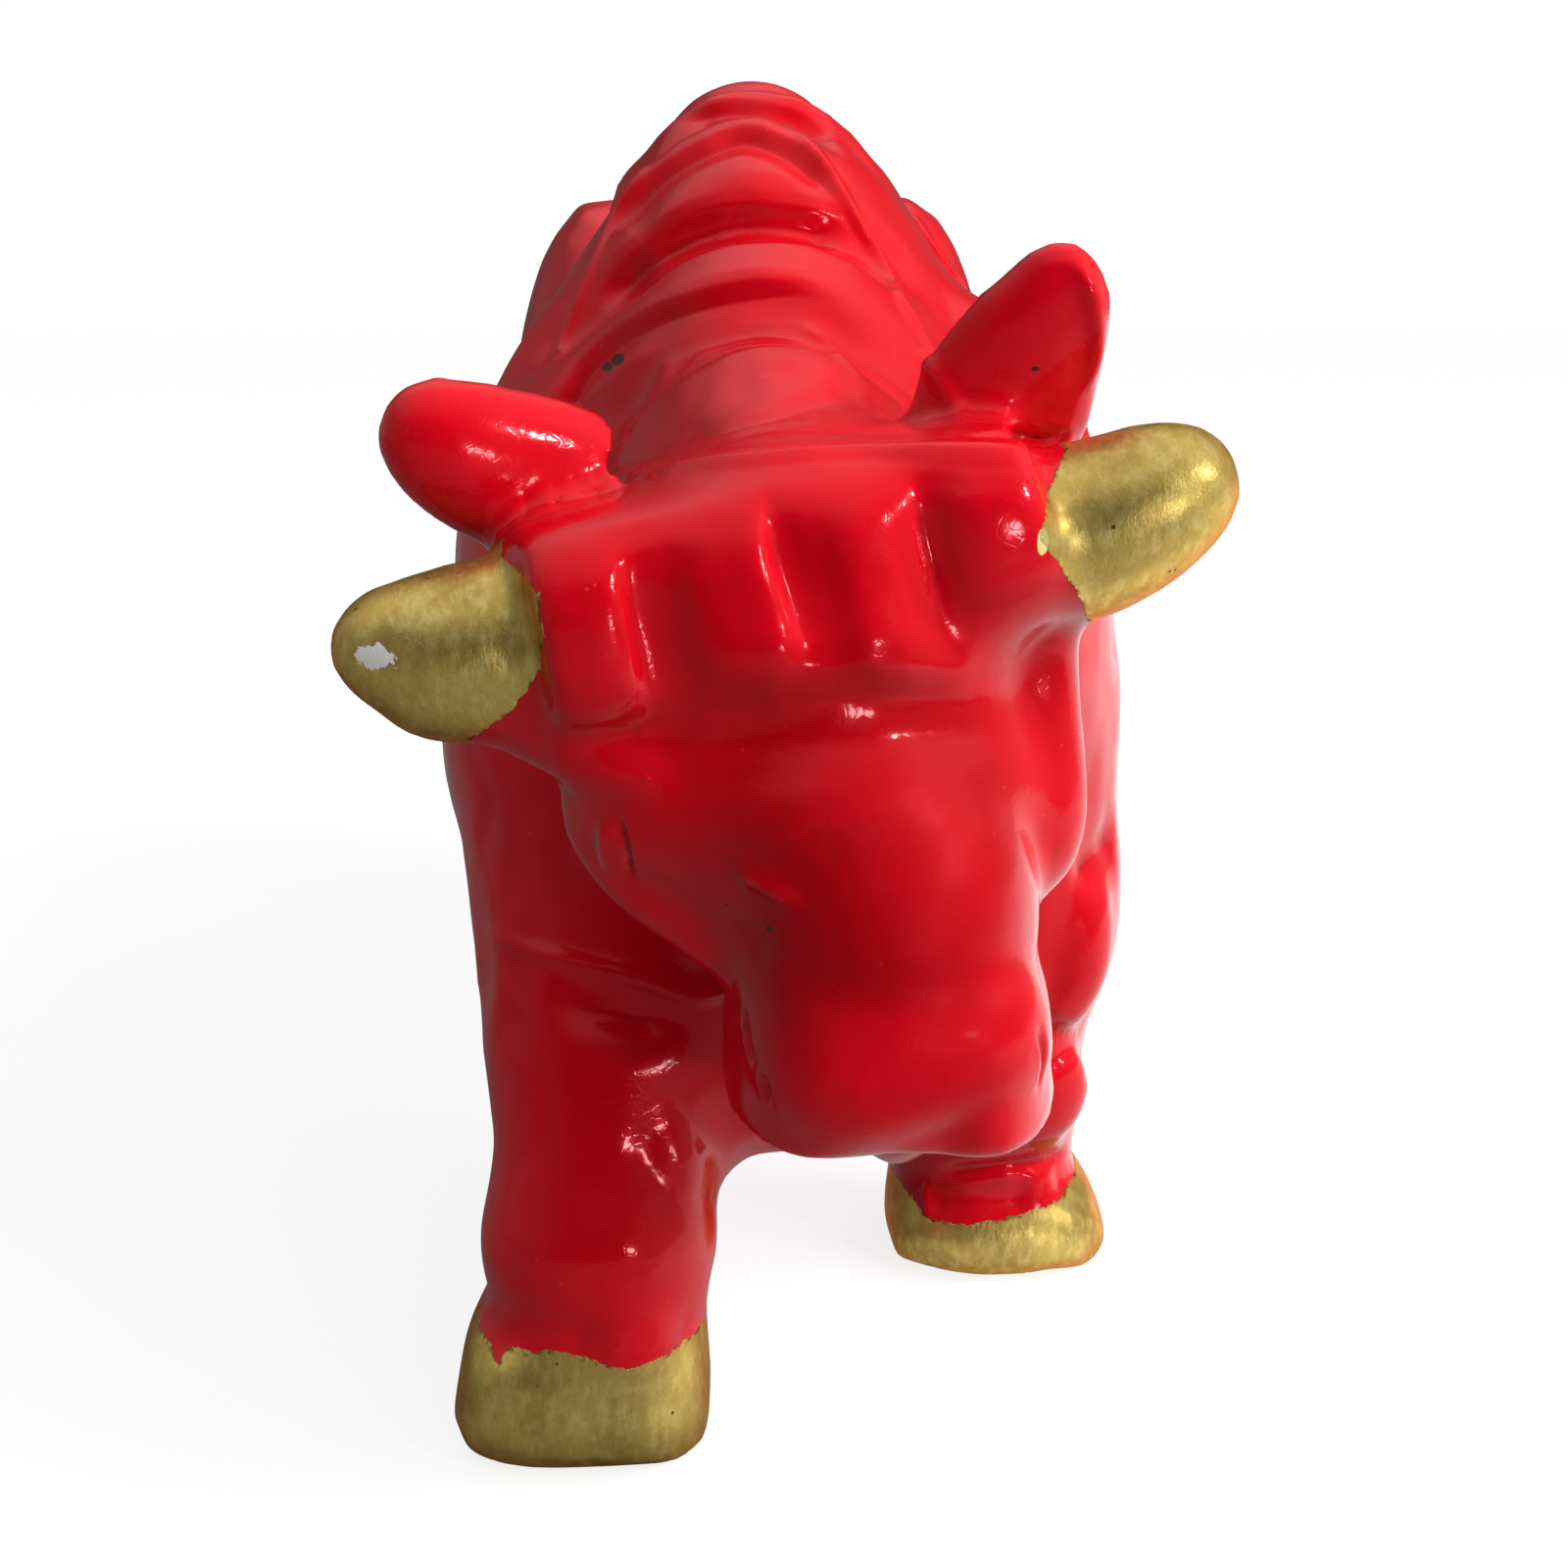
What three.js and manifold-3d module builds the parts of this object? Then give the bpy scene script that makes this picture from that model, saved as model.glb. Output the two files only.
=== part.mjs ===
// A glazed ceramic bull figurine, slip cast and luted together from separate castings.
// Units are millimetres, +Z is up and the bull faces -Y. Its own left side is at +X.
// Each casting is sculpted from rounded masses that melt into one another, is meshed once,
// and is then sawn from its neighbours along the planes where the real castings are joined.
import * as THREE from "three";
import { triTable } from "three/addons/objects/MarchingCubes.js";
import { mergeVertices } from "three/addons/utils/BufferGeometryUtils.js";
import Module from "manifold-3d";

const wasm = await Module();
wasm.setup();

// Trunk: each mass has a width across the bull, a front and back end along it and a bottom and top
const BARREL = { width: 76, front: -60, back: 76, bottom: 44, top: 140 };
const RUMP = { width: 76, front: 12, back: 100, bottom: 54, top: 145 };
const CHEST = { width: 70, front: -100, back: -16, bottom: 46, top: 130 };
const HUMP = { width: 46, front: -76, back: 12, bottom: 72, top: 156 };
const BRISKET = { width: 46, front: -105, back: -28, bottom: 27, top: 77 };
const BRISKET_ROUNDING = 17;
const TRUNK_MELT = 9;

// The hump, brisket and neck lean to the bull's right by this much
const RIDGE_X = -3;

// Masses at the sides of the trunk: inner and outer are distances from the middle
const SHOULDER = { inner: 6, outer: 42.5, front: -86, back: -30, bottom: 56, top: 128, tilt: -14 };
const ELBOW_RIGHT = { inner: 10, outer: 42.5, front: -82, back: -44, bottom: 57, top: 92, tilt: 0 };
const ELBOW_LEFT = { inner: 12, outer: 45.5, front: -78, back: -42, bottom: 27, top: 70, tilt: 0 };
const HAUNCH = { inner: 8, outer: 44.5, front: 22, back: 90, bottom: 46, top: 144, tilt: 10 };
const STIFLE = { inner: 10, outer: 41.5, front: 26, back: 66, bottom: 44, top: 92, tilt: 0 };

// Neck and the rolls of skin across it
const NECK_WIDTH = 44;
const NECK_FRONT_Y = -108;
const NECK_FRONT_HEIGHT = 117;
const NECK_FRONT_RADIUS = 20;
const NECK_MIDDLE_RADIUS = 28;
const NECK_ROOT_RADIUS = 32;
const NECK_ROOT_LENGTH = 12;
const CREASES_Y = [-91, -72, -50, -39];
const CREASE_DEPTH = 3;
const CREASE_WIDTH = 4;
const CREASE_REACH_DOWN = 34;
const CREASE_REACH_LEFT = 22;

// Legs
const STANCE_X = 1.5;
const LEG_SPREAD = 51;
const SHANK_RADIUS = 12.1;
const FETLOCK_RADIUS = 14;
const KNEE_RADIUS = 13.6;
const THIGH_RADIUS = 17.6;
const FETLOCK_HEIGHT = 23;
const SHANK_HEIGHT = 33;
const KNEE_HEIGHT = 45;
const THIGH_HEIGHT = 73;
const SHANK_LEAN = 0.12;
const KNEE_LEAN = 0.3;
const LEG_MELT = 3;

// Hooves, which are painted higher on the bull's right
const HOOF_SPREAD = 55.4;
const HOOF_WIDTH = 31.6;
const HOOF_LENGTH = 30.5;
const HOOF_FORWARD = 1.5;
const HOOF_TAPER = 0.17;
const HOOF_SQUARENESS = 3.2;
const HOOF_EDGE = 4;
const HOOF_HEIGHT_RIGHT = 15;
const HOOF_HEIGHT_LEFT = 11;

// The legs: the side each one is on, where its hoof stands and where it runs into the body
const LEGS = {
  foreleg_right: { side: -1, hoofY: -103.5, topY: -76, hoofHeight: HOOF_HEIGHT_RIGHT },
  foreleg_left: { side: 1, hoofY: -64, topY: -58, hoofHeight: HOOF_HEIGHT_LEFT },
  hind_leg_right: { side: -1, hoofY: 76, topY: 62, hoofHeight: HOOF_HEIGHT_RIGHT },
  hind_leg_left: { side: 1, hoofY: 50, topY: 56, hoofHeight: HOOF_HEIGHT_LEFT },
};

// Head, in its own frame: X to the bull's left, -Y out of the face and Z up it, from the middle of the poll
const HEAD_AT = [-3.3, -119, 102.4];
const HEAD_ROLL = -11.5;
const HEAD_YAW = 8;
const POLL = { width: 54, front: -12, back: 14, bottom: -8, top: 11 };
const POLL_ROUNDING = 7;
const SKULL = { width: 46, front: -15, back: 20, bottom: -40, top: 12 };
const BROW = { width: 53, front: -15, back: 14, bottom: -33, top: -11 };
const BROW_TILT = 12;
const MUZZLE = { width: 29.5, front: -26, back: -2, bottom: -53, top: -35 };
const MUZZLE_ROUNDING = 8.5;
const HEAD_MELT = 7;
const FACE_MELT = 5;

// Nose and jaw: each is a round limb through two places, with its radius at each of them
const NOSE = { from: [0, -4, -26], thick: 15, to: [0, -10, -40], thin: 14 };
const JAW = { from: [0, 6, -28], thick: 12, to: [0, -6, -41], thin: 9 };

// Forelock
const FORELOCK_GROOVES_X = [-13.5, 0.5, 12];
const GROOVE_DEPTH = 2;
const GROOVE_RUN_OUT = 6;
const GROOVE_WIDTH = 2.6;

// Horns and ears
const HORN_SPAN = 91;
const HORN_ROOT_RADIUS = 10;
const HORN_TIP_RADIUS = 5.4;
const HORN_RISE = 2.5;
const HORN_FORWARD = 5;
const PAINT_LINE_X = 26;
const HORN_CLEARANCE = 3;
const EAR_LENGTH = 24;
const EAR_WIDTH = 17.5;
const EAR_TIP_WIDTH = 11;
const EAR_THICKNESS = 8;
const EAR_PITCH = 12;
const EAR_SWEEP = 12;
const EAR_ROOT_RIGHT = [-16.5, 8, 9.5];
const EAR_ROOT_LEFT = [24.5, 8, 6.5];
const EAR_LIFT_RIGHT = 38;
const EAR_LIFT_LEFT = 50;

// Tail: the places it runs through, as distances left of the middle and below the rump's top
const TAIL_PATH = [[0, 16], [0.5, 30], [2, 46], [5, 58], [8, 68], [13, 82]];
const TAIL_RADIUS = 4.2;
const TAIL_TIP_RADIUS = 2.9;
const TUFT_RADIUS = 6.5;
const TAIL_PROUD = 0.35;

// Casting: the wall that the slip leaves, the vent under the belly, and the joints
const WALL = 5;
const VENT_DIAMETER = 12;
const VENT_Y = 14;
const HOLLOW_MELT = 6;
const LUTE_GAP = 0.35;
const NECK_JOINT_BEHIND = 7;
const NECK_JOINT_PITCH = 41;
const HEAD_JOINT_BEHIND = 13;
const HEAD_JOINT_PITCH = 3;
const LEG_JOINT_HEIGHT = 47;
const LEG_JOINT_INSET = 9;
const LEG_JOINT_MARGIN = 8;

// Mesh fineness of each casting
const TORSO_CELL = 7.4;
const NECK_CELL = 5.2;
const HEAD_CELL = 3.5;
const LEG_CELL = 4.6;
const SMALL_CELL = 3;
const EAR_CELL = 2.7;
const TAIL_CELL = 3.6;
const HOLLOW_CELL = 9;

const GLAZE = { color: 0xc4060c, roughness: 0.16, metalness: 0 };
const GOLD = { color: 0xa08a45, roughness: 0.42, metalness: 0.85 };

const point = (at) => new THREE.Vector3(...at);
const turnOf = (degrees) =>
  new THREE.Quaternion().setFromEuler(
    new THREE.Euler(...degrees.map(THREE.MathUtils.degToRad), "ZYX"),
  );

// A form is a function of a point that is negative inside it, zero on its skin and positive outside,
// about as far from zero as the point is from the skin.

// An ellipsoid that fills the box between two corners, turned about its middle
function mass(low, high, degrees = [0, 0, 0]) {
  const middle = point(low).add(point(high)).multiplyScalar(0.5);
  const half = point(high).sub(middle);
  const back = turnOf(degrees).invert();
  return (p) => {
    const q = p.clone().sub(middle).applyQuaternion(back).divide(half);
    const reach = q.length();
    const slope = q.divide(half).length();
    return slope > 0 ? (reach * (reach - 1)) / slope : -Math.min(...half.toArray());
  };
}

// A round limb through the given points, each with its own radius
function limb(...stops) {
  const ends = stops.map(([x, y, z, radius]) => ({ at: point([x, y, z]), radius }));
  return (p) => {
    let nearest = Infinity;
    for (let i = 1; i < ends.length; i++) {
      const a = ends[i - 1];
      const b = ends[i];
      const along = b.at.clone().sub(a.at);
      const share = THREE.MathUtils.clamp(p.clone().sub(a.at).dot(along) / along.lengthSq(), 0, 1);
      const axis = a.at.clone().addScaledVector(along, share);
      const away = p.distanceTo(axis) - THREE.MathUtils.lerp(a.radius, b.radius, share);
      nearest = Math.min(nearest, away);
    }
    return nearest;
  };
}

// A box between two corners with rounded edges
function block(low, high, rounding) {
  const middle = point(low).add(point(high)).multiplyScalar(0.5);
  const inner = point(high).sub(middle).subScalar(rounding);
  return (p) => {
    const q = p.clone().sub(middle);
    const over = new THREE.Vector3(...["x", "y", "z"].map((k) => Math.abs(q[k]) - inner[k]));
    const outside = over.clone().max(new THREE.Vector3()).length();
    return outside + Math.min(Math.max(over.x, over.y, over.z), 0) - rounding;
  };
}

// Forms that melt into one another where they come within the given distance
function melt(distance, ...forms) {
  return (p) =>
    forms.reduce((sum, form) => {
      const next = form(p);
      const share = Math.max(distance - Math.abs(sum - next), 0) / distance;
      return Math.min(sum, next) - (share * share * distance) / 4;
    }, Infinity);
}

// A form moved into place
function placed(form, matrix) {
  const back = matrix.clone().invert();
  return (p) => form(p.clone().applyMatrix4(back));
}

const bell = (away, width) => Math.exp(-((away / width) ** 2));
const smooth = THREE.MathUtils.smoothstep;

// The skin of a form between two corners of space, as a closed triangle mesh. Its vertices slide along
// the skin afterwards, so that the triangles come out even.
function skin(form, low, high, cell) {
  const start = point(low).subScalar(cell);
  const count = ["x", "y", "z"].map((k, i) => Math.ceil((high[i] - low[i]) / cell) + 3);
  const at = (i, j, k) => start.clone().add(new THREE.Vector3(i, j, k).multiplyScalar(cell));
  const key = (i, j, k) => (k * count[1] + j) * count[0] + i;
  const value = new Float32Array(count[0] * count[1] * count[2]);
  for (let k = 0; k < count[2]; k++)
    for (let j = 0; j < count[1]; j++)
      for (let i = 0; i < count[0]; i++) {
        const edge = [i, j, k].some((n, axis) => n === 0 || n === count[axis] - 1);
        value[key(i, j, k)] = edge ? cell : form(at(i, j, k));
      }
  const square = [[0, 0], [1, 0], [1, 1], [0, 1]];
  const corners = [0, 1].flatMap((level) => square.map(([x, y]) => [x, y, level]));
  const ring = [0, 1, 2, 3].map((n) => [n, (n + 1) % 4]);
  const edges = [...ring, ...ring.map((pair) => pair.map((n) => n + 4)), ...ring.map(([n]) => [n, n + 4])];
  const vertices = [];
  const triangles = [];
  const made = new Map();
  const crossing = (a, b) => {
    const [first, last] = key(...a) < key(...b) ? [a, b] : [b, a];
    const name = `${key(...first)}-${key(...last)}`;
    if (!made.has(name)) {
      const [u, v] = [value[key(...first)], value[key(...last)]];
      const share = THREE.MathUtils.clamp(u / (u - v), 0.12, 0.88);
      made.set(name, vertices.push(at(...first).lerp(at(...last), share)) - 1);
    }
    return made.get(name);
  };
  for (let k = 0; k < count[2] - 1; k++)
    for (let j = 0; j < count[1] - 1; j++)
      for (let i = 0; i < count[0] - 1; i++) {
        const cube = corners.map(([x, y, z]) => [i + x, j + y, k + z]);
        const kind = cube.reduce((bits, c, n) => bits | (value[key(...c)] < 0 ? 1 << n : 0), 0);
        for (let n = kind * 16; triTable[n] !== -1; n += 3) {
          const sides = [0, 2, 1].map((m) => edges[triTable[n + m]]);
          triangles.push(sides.map(([a, b]) => crossing(cube[a], cube[b])));
        }
      }
  even(form, vertices, triangles, cell);
  return solid(vertices.flatMap((v) => v.toArray()), triangles.flat());
}

// Slides each vertex towards the middle of its neighbours and back onto the skin
function even(form, vertices, triangles, cell) {
  const near = vertices.map(() => new Set());
  triangles.forEach((t) => t.forEach((v) => t.forEach((w) => v !== w && near[v].add(w))));
  const step = cell / 20;
  const axes = [new THREE.Vector3(step, 0, 0), new THREE.Vector3(0, step, 0), new THREE.Vector3(0, 0, step)];
  for (let pass = 0; pass < 4; pass++) {
    const moved = vertices.map((v, n) => {
      const middle = new THREE.Vector3();
      near[n].forEach((w) => middle.addScaledVector(vertices[w], 1 / near[n].size));
      return v.clone().lerp(middle, 0.5);
    });
    moved.forEach((v, n) => {
      for (let turn = 0; turn < 2; turn++) {
        const away = form(v);
        const slope = new THREE.Vector3(...axes.map((a) => (form(v.clone().add(a)) - away) / step));
        const shift = slope.multiplyScalar(-away / Math.max(slope.lengthSq(), 0.2));
        v.add(shift.clampLength(0, cell / 3));
      }
      if (Math.abs(form(vertices[n])) < cell * 0.6) vertices[n].copy(v);
    });
  }
}

const solid = (positions, triangles) =>
  new wasm.Manifold(
    new wasm.Mesh({
      numProp: 3,
      vertProperties: new Float32Array(positions),
      triVerts: new Uint32Array(triangles),
    }),
  );

// A three.js geometry as a solid
function solidOf(geometry) {
  const bare = geometry.clone();
  bare.deleteAttribute("normal");
  bare.deleteAttribute("uv");
  const merged = mergeVertices(bare);
  return solid(merged.attributes.position.array, merged.index.array);
}

// All the space on the far side of a plane through a point, past a gap
const FAR = 400;
function beyond(at, direction, gap = 0) {
  const away = point(direction).normalize();
  const turn = new THREE.Quaternion().setFromUnitVectors(new THREE.Vector3(0, 0, 1), away);
  const middle = point(at).addScaledVector(away, FAR / 2 + gap);
  return solidOf(new THREE.BoxGeometry(FAR, FAR, FAR).applyQuaternion(turn).translate(...middle.toArray()));
}

const box = (low, high) => {
  const size = point(high).sub(point(low));
  const middle = point(low).add(point(high)).multiplyScalar(0.5);
  return solidOf(new THREE.BoxGeometry(...size.toArray()).translate(...middle.toArray()));
};

// The two corners of a mass that is as wide on both sides of a plane of constant X
const across = ({ width, front, back, bottom, top }, x = 0) => [
  [x - width / 2, front, bottom],
  [x + width / 2, back, top],
];

// A mass at one side of the body: side is 1 on the bull's left and -1 on its right
function sideMass({ inner, outer, front, back, bottom, top, tilt }, side) {
  const xs = [side * inner, side * outer].sort((a, b) => a - b);
  return mass([xs[0], front, bottom], [xs[1], back, top], [tilt, 0, 0]);
}

// A form made narrower or wider about a plane of constant X
function narrowed(form, x, share) {
  return (p) => form(new THREE.Vector3((p.x - x) / share + x, p.y, p.z)) * Math.min(share, 1);
}

function leg({ side, hoofY, topY, hoofHeight }) {
  const x = STANCE_X + (side * LEG_SPREAD) / 2;
  const leaning = (share) => THREE.MathUtils.lerp(hoofY, topY, share);
  const shin = limb(
    [x, hoofY, hoofHeight - HOOF_EDGE, SHANK_RADIUS],
    [x, hoofY, FETLOCK_HEIGHT, FETLOCK_RADIUS],
    [x, leaning(SHANK_LEAN), SHANK_HEIGHT, SHANK_RADIUS],
    [x, leaning(KNEE_LEAN), KNEE_HEIGHT, KNEE_RADIUS],
    [x, topY, THIGH_HEIGHT, THIGH_RADIUS],
  );
  return melt(LEG_MELT, shin, hoofForm(side, hoofY - HOOF_FORWARD, hoofHeight));
}

// A hoof is a block with rounded sides that is widest at the ground
function hoofForm(side, y, height) {
  const x = STANCE_X + (side * HOOF_SPREAD) / 2;
  const power = HOOF_SQUARENESS;
  return (p) => {
    const taper = 1 - (HOOF_TAPER * THREE.MathUtils.clamp(p.z, 0, height)) / height;
    const sideways = Math.abs(p.x - x) / ((HOOF_WIDTH / 2) * taper);
    const along = Math.abs(p.y - y) / ((HOOF_LENGTH / 2) * taper);
    const around = ((sideways ** power + along ** power) ** (1 / power) - 1) * (HOOF_WIDTH / 2) * taper;
    const ends = Math.max(-1 - p.z, p.z - height);
    const over = Math.max(around, -HOOF_EDGE) + HOOF_EDGE;
    const past = Math.max(ends, -HOOF_EDGE) + HOOF_EDGE;
    return over > 0 && past > 0 ? Math.hypot(over, past) - HOOF_EDGE : Math.max(around, ends);
  };
}

// The trunk: chest, barrel, hump and haunches
function trunk() {
  return melt(
    TRUNK_MELT,
    mass(...across(BARREL)),
    mass(...across(RUMP)),
    mass(...across(CHEST)),
    mass(...across(HUMP, RIDGE_X)),
    block(...across(BRISKET, RIDGE_X), BRISKET_ROUNDING),
    ...[SHOULDER, HAUNCH, STIFLE].flatMap((one) => [sideMass(one, -1), sideMass(one, 1)]),
    sideMass(ELBOW_RIGHT, -1),
    sideMass(ELBOW_LEFT, 1),
  );
}

// The neck rises from the poll to the withers, with its ridge on one straight line
const withersY = (HUMP.front + HUMP.back) / 2;
const neckSlope = (HUMP.top - NECK_FRONT_HEIGHT) / (withersY - NECK_FRONT_Y);
const ridgeHeight = (y) => NECK_FRONT_HEIGHT + neckSlope * (y - NECK_FRONT_Y);

function neckForm() {
  const stop = (y, radius) => [RIDGE_X, y, ridgeHeight(y) - radius, radius];
  const rootY = withersY - NECK_ROOT_LENGTH;
  const round = limb(
    stop(NECK_FRONT_Y, NECK_FRONT_RADIUS),
    stop((NECK_FRONT_Y + rootY) / 2, NECK_MIDDLE_RADIUS),
    stop(rootY, NECK_ROOT_RADIUS),
  );
  return narrowed(round, RIDGE_X, NECK_WIDTH / 2 / NECK_MIDDLE_RADIUS);
}

// Creases press in across the top of the neck and down its right side, and fade on the left and lower down
function creased(form) {
  const along = new THREE.Vector3(0, 1, neckSlope).normalize();
  const tops = CREASES_Y.map((y) => new THREE.Vector3(0, y, ridgeHeight(y)).dot(along));
  return (p) => {
    const below = ridgeHeight(p.y) - p.z;
    const onTop = 1 - smooth(below, CREASE_REACH_DOWN * 0.4, CREASE_REACH_DOWN);
    const onRight = 1 - smooth(p.x, CREASE_REACH_LEFT * 0.3, CREASE_REACH_LEFT);
    const press = tops.reduce((sum, top) => sum + bell(p.dot(along) - top, CREASE_WIDTH), 0);
    return form(p) + CREASE_DEPTH * press * onTop * onRight;
  };
}

// The head: poll, brow, cheeks, nose, muzzle, jaw and the roots of the horns
function headForm() {
  const poll = block(...across(POLL), POLL_ROUNDING);
  const skull = mass(...across(SKULL));
  const brow = mass(...across(BROW), [0, BROW_TILT, 0]);
  const muzzle = block(...across(MUZZLE), MUZZLE_ROUNDING);
  const [nose, jaw] = [NOSE, JAW].map((one) => limb([...one.from, one.thick], [...one.to, one.thin]));
  const horned = melt(FACE_MELT, poll, hornForm(-1), hornForm(1));
  return forelocked(melt(FACE_MELT, horned, skull, brow, nose, muzzle, jaw));
}

// Grooves part the forelock on the front of the poll
function forelocked(form) {
  return (p) => {
    const inFront = smooth(-p.y, -POLL.front / 3, -POLL.front);
    const low = smooth(p.z, POLL.bottom - GROOVE_RUN_OUT / 3, POLL.bottom + GROOVE_RUN_OUT * 2 / 3);
    const high = 1 - smooth(p.z, POLL.top - POLL_ROUNDING, POLL.top);
    const press = FORELOCK_GROOVES_X.reduce((sum, x) => sum + bell(p.x - x, GROOVE_WIDTH), 0);
    return form(p) + GROOVE_DEPTH * press * inFront * low * high;
  };
}

function hornForm(side) {
  const tipX = HORN_SPAN / 2 - HORN_TIP_RADIUS;
  const stop = (share, radius) => [
    side * THREE.MathUtils.lerp(PAINT_LINE_X, tipX, share),
    -HORN_FORWARD * Math.max(share, 0.2),
    HORN_RISE * share,
    radius,
  ];
  const inside = [side * (PAINT_LINE_X - HORN_ROOT_RADIUS), 0, 0, HORN_ROOT_RADIUS];
  return limb(inside, stop(0, HORN_ROOT_RADIUS), stop(0.5, HORN_ROOT_RADIUS * 0.9), stop(1, HORN_TIP_RADIUS));
}

const headMatrix = new THREE.Matrix4().compose(
  point(HEAD_AT),
  turnOf([0, HEAD_ROLL, HEAD_YAW]),
  new THREE.Vector3(1, 1, 1),
);

const bareTrunk = trunk();
const neck = neckForm();
const head = placed(headForm(), headMatrix);
const legs = Object.values(LEGS).map(leg);
const whole = creased(melt(HEAD_MELT, melt(TRUNK_MELT, bareTrunk, neck, ...legs), head));
const legless = creased(melt(HEAD_MELT, melt(TRUNK_MELT, bareTrunk, neck), head));

// The hollow that the slip leaves when it is poured out, one wall inside the trunk, neck and head
function hollow() {
  const inside = (form, wall) => ({
    width: form.width - 2 * wall,
    front: form.front + wall,
    back: form.back - wall,
    bottom: form.bottom + wall,
    top: form.top - wall,
  });
  const creasedWall = WALL + CREASE_DEPTH;
  const throat = NECK_WIDTH / 2 - creasedWall;
  const neckMiddleY = (NECK_FRONT_Y + withersY - NECK_ROOT_LENGTH) / 2;
  return melt(
    HOLLOW_MELT,
    mass(...across(inside(BARREL, WALL))),
    mass(...across(inside(RUMP, WALL))),
    mass(...across(inside(CHEST, WALL))),
    mass(...across(inside(HUMP, creasedWall), RIDGE_X)),
    limb(
      [RIDGE_X, NECK_FRONT_Y - WALL, ridgeHeight(NECK_FRONT_Y) - NECK_FRONT_RADIUS, NECK_FRONT_RADIUS / 2],
      [RIDGE_X, neckMiddleY, ridgeHeight(neckMiddleY) - NECK_MIDDLE_RADIUS, throat],
    ),
  );
}

// Where the castings meet
const facing = (degrees) => {
  const angle = THREE.MathUtils.degToRad(degrees);
  return [0, -Math.cos(angle), Math.sin(angle)];
};
const neckJoint = { at: [0, withersY + NECK_JOINT_BEHIND, HUMP.top], facing: facing(NECK_JOINT_PITCH) };
const headJoint = { at: [0, HEAD_AT[1] + HEAD_JOINT_BEHIND, HUMP.top], facing: facing(HEAD_JOINT_PITCH) };
const halfGap = LUTE_GAP / 2;

// The space that each casting is looked for in, with room to spare on all sides
const SPARE = 15;
const halfWidth = Math.max(SHOULDER.outer, ELBOW_LEFT.outer, HAUNCH.outer) + SPARE;
const bodyLow = [-halfWidth, HEAD_AT[1] + MUZZLE.front - SPARE, BRISKET.bottom - SPARE];
const bodyHigh = [halfWidth, RUMP.back + SPARE, HUMP.top + SPARE];
const headLow = [-HORN_SPAN / 2 - SPARE, bodyLow[1], HEAD_AT[2] + MUZZLE.bottom - SPARE];
const headHigh = [HORN_SPAN / 2 + SPARE, headJoint.at[1] + SPARE, HEAD_AT[2] + POLL.top + SPARE];

// The corner of the body that goes with one leg: below the joint, outside the inset, and from a little
// inside the leg to the end of the bull
const legQuarter = ({ side, hoofY, topY }, gap) => {
  const inner = LEG_JOINT_INSET + gap;
  const xs = side > 0 ? [inner, FAR] : [-FAR, -inner];
  const inside = KNEE_RADIUS + LEG_JOINT_MARGIN - gap;
  const ys = hoofY < 0 ? [-FAR, topY + inside] : [topY - inside, FAR];
  return box([xs[0], ys[0], -FAR], [xs[1], ys[1], LEG_JOINT_HEIGHT - gap]);
};
const allQuarters = () =>
  Object.values(LEGS)
    .map((one) => legQuarter(one, -halfGap))
    .reduce((sum, one) => sum.add(one));

// The space ahead of the head's joint and above the legs
const headSpace = (gap) =>
  beyond(headJoint.at, headJoint.facing, gap).intersect(beyond([0, 0, LEG_JOINT_HEIGHT], [0, 0, 1], halfGap));

function hollowSolid() {
  const vent = new THREE.CylinderGeometry(VENT_DIAMETER / 2, VENT_DIAMETER / 2, RUMP.bottom, 24)
    .rotateX(Math.PI / 2)
    .translate(0, VENT_Y, BARREL.bottom);
  return skin(hollow(), bodyLow, bodyHigh, HOLLOW_CELL).add(solidOf(vent));
}

const core = hollowSolid();

function torsoShell() {
  const aheadOfNeck = beyond(neckJoint.at, neckJoint.facing, -halfGap);
  const underneath = beyond([0, 0, BRISKET.bottom - WALL], [0, 0, -1]);
  return skin(whole, bodyLow, bodyHigh, TORSO_CELL)
    .subtract(aheadOfNeck)
    .subtract(headSpace(-halfGap))
    .subtract(allQuarters())
    .subtract(underneath)
    .subtract(core);
}

function neckShell() {
  const high = [halfWidth, withersY + NECK_JOINT_BEHIND + 2 * SPARE, bodyHigh[2]];
  return skin(whole, [-halfWidth, headLow[1], headLow[2] - SPARE], high, NECK_CELL)
    .intersect(beyond(neckJoint.at, neckJoint.facing, halfGap))
    .subtract(headSpace(-halfGap))
    .subtract(allQuarters())
    .subtract(core);
}

function headSolid(form, cell) {
  return skin(form, headLow, headHigh, cell).intersect(headSpace(halfGap));
}

// The end of a horn past the line where its gold paint begins
function hornSpace(side, gap) {
  const past = (at, direction) =>
    beyond(
      point(at).applyMatrix4(headMatrix).toArray(),
      point(direction).transformDirection(headMatrix).toArray(),
      gap,
    );
  const outside = past([side * PAINT_LINE_X, 0, 0], [side, -0.12, 0.05]);
  return outside.intersect(past([0, 0, -HORN_ROOT_RADIUS - HORN_CLEARANCE], [0, 0, 1]));
}

function headShell() {
  return headSolid(legless, HEAD_CELL)
    .subtract(hornSpace(-1, -halfGap))
    .subtract(hornSpace(1, -halfGap))
    .subtract(core);
}

function hornTip(side) {
  return headSolid(legless, SMALL_CELL).intersect(hornSpace(side, halfGap));
}

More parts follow.
